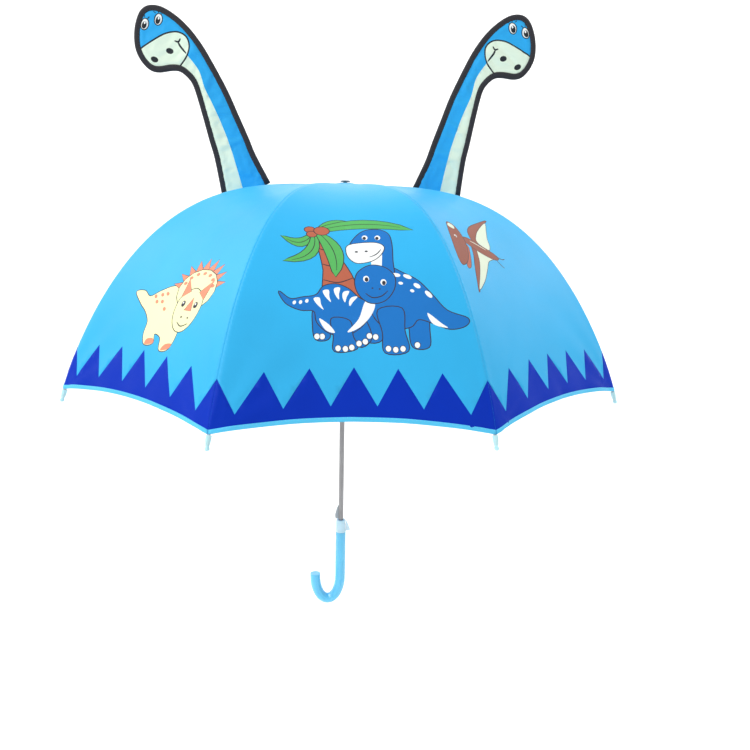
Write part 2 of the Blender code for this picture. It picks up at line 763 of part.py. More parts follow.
def make_button():
    """Release button: a wedge that slides into the collar at +X."""
    outline = [
        (6.9, 37.0), (12.3, 37.0), (12.8, 38.0), (12.6, 39.8), (8.0, 50.2), (6.9, 50.2),
    ]
    loop = [(x * MM, z * MM) for x, z in reversed(outline)]
    button = plate("release_button", [loop], BUTTON_HALF)
    button.rotation_euler = upright(0.0)
    add_part(as_mesh(button), COLLAR_PLASTIC)
    wire_r = 0.22 * MM
    height = 0.0435
    low, high = SHAFT_R + wire_r + GAP, 6.9 * MM - wire_r - GAP
    coil = helix((low, 0, height), (high, 0, height), 1.6 * MM, 3, 8)
    add_part(wire("button_spring", coil, wire_r, 0), SPRING_STEEL)


def crook_path():
    """Centreline of the handle: a straight grip, half an ellipse and a short arm."""
    line = [(0.0, GRIP_TOP)]
    line += [(0.0, GRIP_TOP + (CROOK_START - GRIP_TOP) * i / 4.0) for i in range(1, 4)]
    turns = 16
    for i in range(turns + 1):
        angle = -math.pi * i / turns
        x = -CROOK_HALF_WIDTH + CROOK_HALF_WIDTH * math.cos(angle)
        line.append((x, CROOK_START + CROOK_DEPTH * math.sin(angle)))
    line.append((-2.0 * CROOK_HALF_WIDTH, CROOK_END))
    return [(x, 0.0, z) for x, z in line]


def make_handle():
    handle = as_mesh(wire("handle", crook_path(), GRIP_R, 4))
    bore = cylinder("grip_bore_cutter", RUNNING_BORE, SHAFT_BOTTOM - GAP, GRIP_TOP + 5.0 * MM, 24)
    boolean(handle, add_cutter(bore))
    add_part(handle, HANDLE_PLASTIC)


# ---------------------------------------------------------------- necks

def neck_outline(side):
    """Outer edge of a neck in (outwards, up) from the shaft's axis, from foot to foot."""
    lean = NECK_LEAN[side]
    out = []
    for u, v in smooth_path([(u * MM, v * MM) for u, v in NECK_OUTLINE_MM], 2):
        x = u * math.cos(lean) + v * math.sin(lean)
        z = v * math.cos(lean) - u * math.sin(lean)
        out.append(Vector((NECK_X[side] + x, NECK_Z + z)))
    return out


def inset(path, distance):
    """The path moved sideways, towards the inside of a neck."""
    out = []
    for i, point in enumerate(path):
        ahead = (path[min(i + 1, len(path) - 1)] - path[max(i - 1, 0)]).normalized()
        out.append(point + Vector((ahead.y, -ahead.x)) * -distance)
    return out


def foot_height(x):
    """Height of the side gores' middle line, at a distance from the shaft."""
    low, high = 0.0, 0.6
    arm = 3
    for _ in range(30):
        middle = (low + high) / 2.0
        if gore_point(arm, middle, 0.5).x < x:
            low = middle
        else:
            high = middle
    return gore_point(arm, low, 0.5).z + FABRIC_T / 2.0 + 2.0 * GAP


def standing(path):
    """The part of an open path that stands above the canopy, cut off just above the fabric."""
    kept = [p for p in path if p.y > foot_height(p.x) + 1.0 * MM]
    first, last = path[0], path[-1]
    for end, neighbour, place in ((first, kept[0], 0), (last, kept[-1], len(kept) + 1)):
        low, high = 0.0, 1.0
        for _ in range(30):
            middle = (low + high) / 2.0
            spot = neighbour.lerp(end, middle)
            if spot.y > foot_height(spot.x):
                low = middle
            else:
                high = middle
        kept.insert(place, neighbour.lerp(end, low))
    return kept


def foot_line(start, end, count):
    """Points just above the fabric, between two ends of a neck's outline."""
    xs = [start.x + (end.x - start.x) * i / count for i in range(1, count)]
    return [Vector((x, foot_height(x))) for x in xs]


def make_neck(side, angle):
    outer = standing(neck_outline(side))
    binding_in = standing(inset(neck_outline(side), NECK_BINDING - GAP / 2.0))
    panel_out = standing(inset(neck_outline(side), NECK_BINDING + GAP / 2.0))
    panel = panel_out + foot_line(panel_out[-1], panel_out[0], 6)
    edge = outer + list(reversed(binding_in))
    hinge = gore_hinge(3 if side == "right" else 7)
    origin = Vector((math.hypot(hinge.x, hinge.y), HINGE_Z))
    for name, loop, half, surface in (
        (f"neck_{side}", panel, NECK_PANEL_HALF, NECK_FABRIC),
        (f"neck_{side}_binding", edge, NECK_EDGE_HALF, EDGE_FABRIC),
    ):
        shape = plate(name, [[tuple(p - origin) for p in loop]], half)
        shape.location = hinge
        shape.rotation_euler = upright(angle)
        add_part(as_mesh(shape), surface)


def build():
    make_shaft()
    make_handle()
    make_collar()
    make_button()
    make_catch()
    make_notch()
    make_rings()
    make_crown_cap()
    make_runner()
    make_opening_parts()
    make_ribs()
    make_tips()
    make_stretchers()
    make_rivets()
    make_gores()
    make_strap()
    make_neck("left", math.pi)
    make_neck("right", 0.0)


build()
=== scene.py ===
"""Looks of the children's dinosaur umbrella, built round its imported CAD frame.

Units are metres and the frame is the part's own: +Z up the shaft, front towards -Y.
Prints are drawn flat in millimetres and laid on the cut panels.
"""

import math

import bpy
import numpy as np
from mathutils import Matrix, Vector
from mathutils.bvhtree import BVHTree
from mathutils.geometry import delaunay_2d_cdt


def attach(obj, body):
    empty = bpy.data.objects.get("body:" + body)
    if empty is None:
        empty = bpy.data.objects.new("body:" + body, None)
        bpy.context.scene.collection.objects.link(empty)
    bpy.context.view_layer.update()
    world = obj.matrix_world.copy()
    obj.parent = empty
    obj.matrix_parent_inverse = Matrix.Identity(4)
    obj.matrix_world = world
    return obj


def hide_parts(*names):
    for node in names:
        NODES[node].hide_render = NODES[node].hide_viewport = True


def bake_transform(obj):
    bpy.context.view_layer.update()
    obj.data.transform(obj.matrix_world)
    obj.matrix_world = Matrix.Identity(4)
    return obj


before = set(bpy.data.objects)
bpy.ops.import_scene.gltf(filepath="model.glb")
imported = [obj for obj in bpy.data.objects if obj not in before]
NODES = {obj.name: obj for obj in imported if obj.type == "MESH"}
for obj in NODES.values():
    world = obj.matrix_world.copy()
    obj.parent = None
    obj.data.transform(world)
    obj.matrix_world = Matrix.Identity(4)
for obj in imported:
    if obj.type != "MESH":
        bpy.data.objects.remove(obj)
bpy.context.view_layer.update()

MM = 0.001
ARMS = 8
ARM_STEP = 2.0 * math.pi / ARMS
FIRST_AZIMUTH = math.radians(-112.5)

# The canopy's surface, as the CAD has it
RIM_Z = 0.270
CANOPY_R = 0.351
CANOPY_H = 0.240
PROFILE_POWER = 3.4
PROFILE_ROOT = 0.9
CROWN_RISE = 3.0 * MM
CROWN_SPREAD = 20.0 * MM
FABRIC_HOLE_R = 4.0 * MM
HEM_RISE = 12.0 * MM
GORE_SAG = 5.0 * MM

# The necks, as the CAD has them
NECK_X = {"left": 0.127, "right": 0.119}
NECK_Z = RIM_Z + 0.2328
NECK_LEAN = {"left": 0.0, "right": math.radians(-4.0)}
NECK_OUTLINE_MM = [
    (27.9, -21.8), (37.9, 32.8), (44.6, 57.3), (54.7, 95.2), (61.9, 119.0), (67.8, 129.2),
    (77.7, 137.0), (87.7, 138.0), (104.0, 135.5), (115.4, 138.5), (125.7, 149.3), (131.5, 164.0),
    (131.6, 182.7), (127.4, 198.7), (121.0, 208.3), (111.1, 212.6), (97.5, 211.0), (81.1, 202.0),
    (66.0, 188.8), (52.7, 172.6), (40.8, 153.9), (21.3, 118.9), (7.7, 89.1), (-4.6, 61.8),
    (-14.5, 38.8), (-38.0, -4.0),
]


# ---------------------------------------------------------------- materials

def shader_of(name):
    made = bpy.data.materials.new(name)
    made.use_nodes = True
    tree = made.node_tree
    return made, tree, tree.nodes["Principled BSDF"]


def noise(tree, scale, detail=3.0, stretch=None, where="Object"):
    """A noise texture in object or UV space, stretched if asked."""
    place = tree.nodes.new("ShaderNodeTexCoord")
    texture = tree.nodes.new("ShaderNodeTexNoise")
    texture.inputs["Scale"].default_value = scale
    texture.inputs["Detail"].default_value = detail
    source = place.outputs[where]
    if stretch:
        mapping = tree.nodes.new("ShaderNodeMapping")
        mapping.inputs["Scale"].default_value = stretch
        tree.links.new(source, mapping.inputs["Vector"])
        source = mapping.outputs["Vector"]
    tree.links.new(source, texture.inputs["Vector"])
    return texture.outputs["Fac"]


def ramp(tree, factor, low, high, start=0.3, end=0.7):
    """A colour ramp between two colours."""
    node = tree.nodes.new("ShaderNodeValToRGB")
    node.color_ramp.elements[0].position = start
    node.color_ramp.elements[1].position = end
    node.color_ramp.elements[0].color = (*low, 1.0)
    node.color_ramp.elements[1].color = (*high, 1.0)
    tree.links.new(factor, node.inputs["Fac"])
    return node.outputs["Color"]


def spread(tree, factor, low, high):
    """A number between two values."""
    node = tree.nodes.new("ShaderNodeMapRange")
    node.inputs["To Min"].default_value = low
    node.inputs["To Max"].default_value = high
    tree.links.new(factor, node.inputs["Value"])
    return node.outputs["Result"]


def bump(tree, height, strength, distance, under=None):
    node = tree.nodes.new("ShaderNodeBump")
    node.inputs["Strength"].default_value = strength
    node.inputs["Distance"].default_value = distance
    tree.links.new(height, node.inputs["Height"])
    if under:
        tree.links.new(under, node.inputs["Normal"])
    return node.outputs["Normal"]


def bands(tree, pitch_mm, direction):
    """Threads at a pitch, across the panel's flat pattern (its UV map, in millimetres)."""
    place = tree.nodes.new("ShaderNodeTexCoord")
    wave = tree.nodes.new("ShaderNodeTexWave")
    wave.bands_direction = direction
    wave.inputs["Scale"].default_value = 0.314 / pitch_mm
    wave.inputs["Distortion"].default_value = 0.6
    wave.inputs["Detail"].default_value = 1.0
    tree.links.new(place.outputs["UV"], wave.inputs["Vector"])
    return wave.outputs["Fac"]


def product(tree, a, b, operation="MULTIPLY"):
    node = tree.nodes.new("ShaderNodeMath")
    node.operation = operation
    tree.links.new(a, node.inputs[0])
    tree.links.new(b, node.inputs[1])
    return node.outputs["Value"]


def tone(colour, share):
    return tuple(min(1.0, c * share) for c in colour)


def cloth(name, colour, roughness=0.5, pitch=0.55, sheen=0.05, creases=0.25, gloss=0.22):
    """Woven polyester: a fine weave, a soft sheen, faint creases and uneven dye."""
    made, tree, shader = shader_of(name)
    dye = ramp(tree, noise(tree, 9.0, 5.0), tone(colour, 0.95), tone(colour, 1.04))
    tree.links.new(dye, shader.inputs["Base Color"])
    worn = spread(tree, noise(tree, 30.0, 4.0), roughness - 0.06, roughness + 0.08)
    tree.links.new(worn, shader.inputs["Roughness"])
    shader.inputs["Sheen Weight"].default_value = sheen
    shader.inputs["Sheen Roughness"].default_value = 0.4
    shader.inputs["Specular IOR Level"].default_value = gloss
    weave = product(tree, bands(tree, pitch, "X"), bands(tree, pitch, "Y"))
    fine = bump(tree, weave, 0.20, 0.12 * MM)
    soft = bump(tree, noise(tree, 38.0, 3.0), creases, 0.8 * MM, fine)
    tree.links.new(soft, shader.inputs["Normal"])
    made.diffuse_color = (*colour, 1.0)
    return made


def plastic(name, colour, roughness, grain=0.08, coat=0.0, soft=0.0):
    """Moulded plastic with a faint grain, handling marks and uneven gloss."""
    made, tree, shader = shader_of(name)
    tint = ramp(tree, noise(tree, 40.0, 4.0), tone(colour, 0.96), tone(colour, 1.03))
    tree.links.new(tint, shader.inputs["Base Color"])
    marks = noise(tree, 220.0, 6.0, (1.0, 1.0, 0.25))
    tree.links.new(spread(tree, marks, roughness - 0.05, roughness + 0.12), shader.inputs["Roughness"])
    shader.inputs["Coat Weight"].default_value = coat
    shader.inputs["Coat Roughness"].default_value = 0.12
    shader.inputs["Subsurface Weight"].default_value = soft
    shader.inputs["Subsurface Radius"].default_value = (0.004, 0.006, 0.008)
    shader.inputs["Subsurface Scale"].default_value = 0.5
    grit = bump(tree, noise(tree, 900.0, 3.0), grain, 0.15 * MM)
    tree.links.new(bump(tree, marks, grain * 0.8, 0.2 * MM, grit), shader.inputs["Normal"])
    made.diffuse_color = (*colour, 1.0)
    return made


def metal(name, colour, roughness, drawn=(1.0, 1.0, 0.03)):
    """Drawn steel: lines along its length, faint stains and small scratches."""
    made, tree, shader = shader_of(name)
    stain = ramp(tree, noise(tree, 25.0, 6.0), tone(colour, 0.8), tone(colour, 1.1))
    tree.links.new(stain, shader.inputs["Base Color"])
    shader.inputs["Metallic"].default_value = 1.0
    lines = noise(tree, 700.0, 4.0, drawn)
    tree.links.new(spread(tree, lines, roughness - 0.08, roughness + 0.14), shader.inputs["Roughness"])
    tree.links.new(bump(tree, lines, 0.12, 0.1 * MM), shader.inputs["Normal"])
    made.diffuse_color = (*colour, 1.0)
    return made


STEEL = metal("shaft_steel_look", (0.36, 0.36, 0.37), 0.30)
SPRING = metal("spring_steel_look", (0.50, 0.50, 0.52), 0.28, (0.2, 0.2, 0.2))
RIB = metal("rib_steel_look", (0.58, 0.59, 0.61), 0.38, (0.3, 0.3, 0.3))
RIVET = metal("rivet_look", (0.66, 0.66, 0.66), 0.30, (1.0, 1.0, 1.0))
HANDLE = plastic("handle_look", (0.13, 0.60, 0.90), 0.26, 0.05, 0.6, 0.25)
COLLAR = plastic("collar_look", (0.60, 0.83, 0.93), 0.32, 0.06, 0.2, 0.2)
BUTTON = plastic("button_look", (0.66, 0.86, 0.94), 0.36, 0.10)
CATCH = plastic("catch_look", (0.40, 0.44, 0.46), 0.45, 0.12)
HUB = plastic("hub_look", (0.80, 0.84, 0.86), 0.42, 0.12, 0.0, 0.2)
TIP = plastic("tip_look", (0.50, 0.84, 0.92), 0.30, 0.06, 0.3, 0.25)
CAP = plastic("cap_look", (0.05, 0.12, 0.17), 0.40, 0.12)

NODE_LOOKS = {
    "shaft": STEEL, "drive_pin": STEEL, "opening_spring": SPRING, "button_spring": SPRING,
    "notch_wire": SPRING, "runner_wire": SPRING, "handle": HANDLE, "collar": COLLAR,
    "release_button": BUTTON, "bottom_catch": CATCH, "notch": HUB, "runner": HUB, "crown_cap": CAP,
}
for arm in range(1, ARMS + 1):
    NODE_LOOKS[f"rib_{arm}"] = RIB
    NODE_LOOKS[f"stretcher_{arm}"] = RIB
    NODE_LOOKS[f"rivet_{arm}"] = RIVET
    NODE_LOOKS[f"rib_tip_{arm}"] = TIP
for node, look in NODE_LOOKS.items():
    NODES[node].data.materials.clear()
    NODES[node].data.materials.append(look)

INKS = {
    "sky": ((0.028, 0.430, 0.800), 0.46), "zig": ((0.000, 0.030, 0.450), 0.48),
    "line": ((0.040, 0.036, 0.048), 0.60), "white": ((0.90, 0.93, 0.92), 0.55),
    "dino": ((0.008, 0.170, 0.540), 0.52), "leaf": ((0.095, 0.44, 0.11), 0.52),
    "bark": ((0.47, 0.125, 0.070), 0.55), "cream": ((0.92, 0.91, 0.50), 0.55),
    "coral": ((0.80, 0.27, 0.16), 0.55), "brown": ((0.29, 0.085, 0.050), 0.55),
    "wing": ((0.72, 0.80, 0.64), 0.55),
}
INK_NAMES = list(INKS)
INK_LOOKS = [
    cloth(f"print_{n}", c, r, sheen=0.0, gloss=0.10) if n == "zig" else cloth(f"print_{n}", c, r)
    for n, (c, r) in INKS.items()
]
UNDER_LOOKS = [
    cloth(f"under_{n}", tuple(0.30 * k + 0.70 * s for k, s in zip(c, (0.06, 0.36, 0.66))), 0.62)
    for n, (c, r) in INKS.items()
]
HEM = cloth("hem_tape", (0.09, 0.56, 0.88), 0.5, 0.8)
SEAM = cloth("seam_tape", (0.06, 0.36, 0.66), 0.6, 0.8)
THREAD = cloth("thread", (0.22, 0.62, 0.88), 0.45, 0.3)
DARK_THREAD = cloth("dark_thread", (0.075, 0.075, 0.085), 0.5, 0.3)
TAPE = cloth("charcoal_tape", (0.030, 0.030, 0.036), 0.72, 0.9, 0.15)
NECK_BLUE = cloth("neck_blue", (0.022, 0.400, 0.840), 0.55)
NECK_PALE = cloth("neck_pale", (0.76, 0.90, 0.74), 0.58)
NECK_WHITE = cloth("neck_white", (0.88, 0.92, 0.90), 0.58)
NECK_LINE = cloth("neck_line", (0.018, 0.024, 0.030), 0.55)
STRAP = cloth("strap_cloth", (0.026, 0.36, 0.76), 0.5, 0.7)


# ---------------------------------------------------------------- canopy surface

def azimuth(arm):
    return FIRST_AZIMUTH + ARM_STEP * (arm - 1)


def outward(angle):
    return Vector((math.cos(angle), math.sin(angle), 0.0))


def canopy_z(r):
    """Height of the fabric along a rib, at a radius."""
    share = max(0.0, 1.0 - (r / CANOPY_R) ** PROFILE_POWER)
    crown = CROWN_RISE * math.exp(-((r / CROWN_SPREAD) ** 2))
    return RIM_Z + CANOPY_H * share ** PROFILE_ROOT + crown


def profile_points(count):
    """Points (r, z) at equal steps of length along the fabric above a rib."""
    fine = 1200
    reach = CANOPY_R - FABRIC_HOLE_R
    radii = [FABRIC_HOLE_R + reach * (1.0 - (1.0 - i / fine) ** 1.5) for i in range(fine + 1)]
    line = np.array([(r, canopy_z(r)) for r in radii])
    steps = np.hypot(*np.diff(line, axis=0).T)
    length = np.concatenate([[0.0], np.cumsum(steps)])
    want = np.linspace(0.0, length[-1], count)
    return np.stack([np.interp(want, length, line[:, 0]), np.interp(want, length, line[:, 1])], 1)


PROFILE = profile_points(241)
LENGTH = float(np.hypot(*np.diff(PROFILE, axis=0).T).sum())
LENGTH_MM = LENGTH * 1000.0
HEM_RISE_MM = HEM_RISE * 1000.0


def on_profile(share):
    place = min(max(share, 0.0), 1.0) * (len(PROFILE) - 1)
    i = min(int(place), len(PROFILE) - 2)
    part = place - i
    return PROFILE[i] * (1.0 - part) + PROFILE[i + 1] * part


def width_mm(s):
    """Width of a flat gore at a distance from its top."""
    return 2000.0 * on_profile(s / LENGTH_MM)[0] * math.sin(ARM_STEP / 2.0)


def hem_mm(across):
    """Distance from a gore's top to its hem."""
    return LENGTH_MM - HEM_RISE_MM * 4.0 * across * (1.0 - across)


def relief(arm, x, s):
    """Seam groove, puckers and tension folds of a gore, in metres; none but the groove at a seam."""
    edge = max(0.0, width_mm(s) / 2.0 - abs(x))
    side = 1.0 if x > 0.0 else -1.0
    rise = max(0.0, LENGTH_MM - s)
    free = 1.0 - math.exp(-((edge / 4.0) ** 2))
    out = -0.55 * math.exp(-((edge / 1.6) ** 2))
    phase = arm * 1.7 + side
    out += 0.34 * free * math.exp(-edge / 10.0) * math.sin(s / 1.9 + 2.0 * math.sin(s / 31.0 + phase))
    reach = math.hypot(edge, rise)
    angle = math.atan2(edge, rise + 4.0)
    fold = (1.0 - math.exp(-reach / 26.0)) * math.exp(-reach / 70.0)
    out += 1.5 * free * fold * math.sin(angle * 13.0 + phase)
    out += 0.9 * free * math.exp(-rise / 34.0) * math.sin(x / 9.5 + phase + rise / 40.0)
    out += 0.5 * free * math.exp(-s / 60.0) * math.sin(x / 2.3 + phase)
    return out * MM


def spot(arm, x, s, lift=0.0):
    """A flat gore's point (x across, s down from the crown, in millimetres) on the open canopy."""
    across = x / width_mm(s) + 0.5
    hollow = 4.0 * across * (1.0 - across)
    share = s / LENGTH_MM
    r, z = on_profile(share)
    a, b = outward(azimuth(arm)), outward(azimuth(arm + 1))
    middle = outward(azimuth(arm) + ARM_STEP / 2.0)
    dip = GORE_SAG * hollow * math.sin(math.pi * min(1.0, share * 1.05)) - lift - relief(arm, x, s)
    slope = max(0.0, min(1.0, share * 1.6 - 0.3))
    inwards = (middle * slope + Vector((0.0, 0.0, 1.0 - slope * 0.6))).normalized()
    return a.lerp(b, across) * float(r) + Vector((0.0, 0.0, float(z))) - inwards * dip


# ---------------------------------------------------------------- flat drawing

def smooth(points, steps=5, closed=True):
    """A smooth line through points (Catmull-Rom)."""
    count = len(points)
    out = []
    for i in range(count if closed else count - 1):
        index = [i - 1, i, i + 1, i + 2]
        pick = [points[j % count] if closed else points[min(max(j, 0), count - 1)] for j in index]
        a, b, c, d = (np.array(p, float) for p in pick)
        for k in range(steps):
            t = k / steps
            bend = (c - a) * t + (2 * a - 5 * b + 4 * c - d) * t * t + (3 * b - a - 3 * c + d) * t ** 3
            out.append(tuple(0.5 * (2 * b + bend)))
    if not closed:
        out.append(tuple(float(v) for v in points[-1]))
    return out


def area_of(loop):
    p = np.array(loop)
    return 0.5 * float(np.sum(p[:, 0] * np.roll(p[:, 1], -1) - np.roll(p[:, 0], -1) * p[:, 1]))


def grown(loop, amount):
    """A closed outline moved outwards."""
    p = np.array(loop, float)
    along = np.roll(p, -1, 0) - np.roll(p, 1, 0)
    along /= np.maximum(1e-9, np.hypot(along[:, 0], along[:, 1]))[:, None]
    turn = 1.0 if area_of(loop) > 0.0 else -1.0
    return [tuple(v) for v in p + np.stack([along[:, 1], -along[:, 0]], 1) * amount * turn]


def stroke(points, width, steps=4, taper=0.5):
    """A drawn line as an outline, thinner at its ends."""
    line = np.array(smooth(points, steps, False))
    along = np.gradient(line, axis=0)
    along /= np.maximum(1e-9, np.hypot(along[:, 0], along[:, 1]))[:, None]
    share = np.linspace(0.0, 1.0, len(line))
    half = 0.5 * width * (1.0 - taper * (2.0 * share - 1.0) ** 2)
    side = np.stack([-along[:, 1], along[:, 0]], 1) * half[:, None]
    return [tuple(v) for v in line + side] + [tuple(v) for v in (line - side)[::-1]]


def oval(x, y, rx, ry, turn=0.0, sides=14):
    c, s = math.cos(turn), math.sin(turn)
    ring = [(rx * math.cos(a), ry * math.sin(a)) for a in np.linspace(0, 2 * math.pi, sides, False)]
    return [(x + u * c - v * s, y + u * s + v * c) for u, v in ring]


def leaf(start, end, bend, width):
    """A palm leaf: a bent pointed blade with its rib."""
    a, b = np.array(start, float), np.array(end, float)
    side = np.array([-(b - a)[1], (b - a)[0]])
    side /= np.hypot(*side)
    mid = [tuple(a + (b - a) * t + side * bend * 4 * t * (1 - t)) for t in np.linspace(0, 1, 9)]
    line = np.array(mid)
    half = width * 0.5 * np.sin(np.pi * np.linspace(0.08, 1.0, 9)) ** 0.6
    blade = [tuple(v) for v in line + side * half[:, None]]
    blade += [tuple(v) for v in (line - side * half[:, None])[::-1][1:]]
    return blade, stroke(mid[:-1], 0.9)


def inked(layers, loop, ink, edge=1.0):
    """Add a filled shape with a dark outline round it."""
    if edge:
        layers.append((grown(loop, edge), "line"))
    layers.append((loop, ink))


def inside(points, loop):
    """Which of the points lie inside a closed outline."""
    x, y = points[:, 0], points[:, 1]
    result = np.zeros(len(points), bool)
    ring = np.array(loop)
    for (x0, y0), (x1, y1) in zip(ring, np.roll(ring, -1, 0)):
        if y0 != y1:
            hit = ((y0 > y) != (y1 > y)) & (x < (x1 - x0) * (y - y0) / (y1 - y0) + x0)
            result ^= hit
    return result


def painted(outline, layers, fill):
    """Triangles of a flat panel, each with the ink of the topmost shape over it."""
    points, edges = [], []
    for loop in [outline] + [shape for shape, _ in layers]:
        first = len(points)
        points += [Vector(p) for p in loop]
        edges += [(first + i, first + (i + 1) % len(loop)) for i in range(len(loop))]
    points += [Vector(p) for p in fill]
    found = delaunay_2d_cdt(points, edges, [], 0, 1e-5)
    flat = np.array([tuple(v) for v in found[0]])
    tris = np.array([list(f) for f in found[2]])
    centres = flat[tris].mean(axis=1)
    kept = inside(centres, outline)
    tris, centres = tris[kept], centres[kept]
    ink = np.zeros(len(tris), int)
    for shape, name in layers:
        ring = np.array(shape)
        near = np.all((centres >= ring.min(0)) & (centres <= ring.max(0)), axis=1)
        hit = np.flatnonzero(near)
        hit = hit[inside(centres[hit], shape)]
        ink[hit] = INK_NAMES.index(name) if isinstance(name, str) else name
    used, tris = np.unique(tris, return_inverse=True)
    return flat[used], tris.reshape(-1, 3), ink


def mesh_object(name, points, faces, looks, ink=None, uv=None):
    """A mesh with a look for each face and a flat pattern in millimetres as its UV map."""
    mesh = bpy.data.meshes.new(name)
    mesh.from_pydata([tuple(p) for p in points], [], [tuple(int(i) for i in f) for f in faces])
    for look in looks:
        mesh.materials.append(look)
    if ink is not None:
        mesh.polygons.foreach_set("material_index", np.array(ink, np.int32))
    mesh.polygons.foreach_set("use_smooth", np.ones(len(mesh.polygons), bool))
    layer = mesh.uv_layers.new(name="cloth")
    corner = np.zeros(len(mesh.loops), np.int32)
    mesh.loops.foreach_get("vertex_index", corner)
    if uv is None:
        flat = np.array([(p[0] * 1000.0, p[2] * 1000.0) for p in points])
    else:
        flat = np.array(uv, float)
    layer.data.foreach_set("uv", flat[corner].astype(np.float32).ravel())
    mesh.update()
    made = bpy.data.objects.new(name, mesh)
    bpy.context.scene.collection.objects.link(made)
    return made


# ---------------------------------------------------------------- printed designs

def zigzag():
    """The border of pointed teeth along the hem; a tooth's point stands on each seam."""
    teeth = 6
    top = []
    for i in range(2 * teeth + 1):
        across = i / (2.0 * teeth)
        rise = 52.0 if i % 2 == 0 else 14.5
        s = hem_mm(across) - rise
        top.append(((across - 0.5) * width_mm(s), s))
    over = 6.0
    low = [((k - 0.5) * (width_mm(LENGTH_MM) + 2 * over), LENGTH_MM + over) for k in (1.0, 0.0)]
    ends = [(top[-1][0] + over, top[-1][1]), *low, (top[0][0] - over, top[0][1])]
    return top + ends


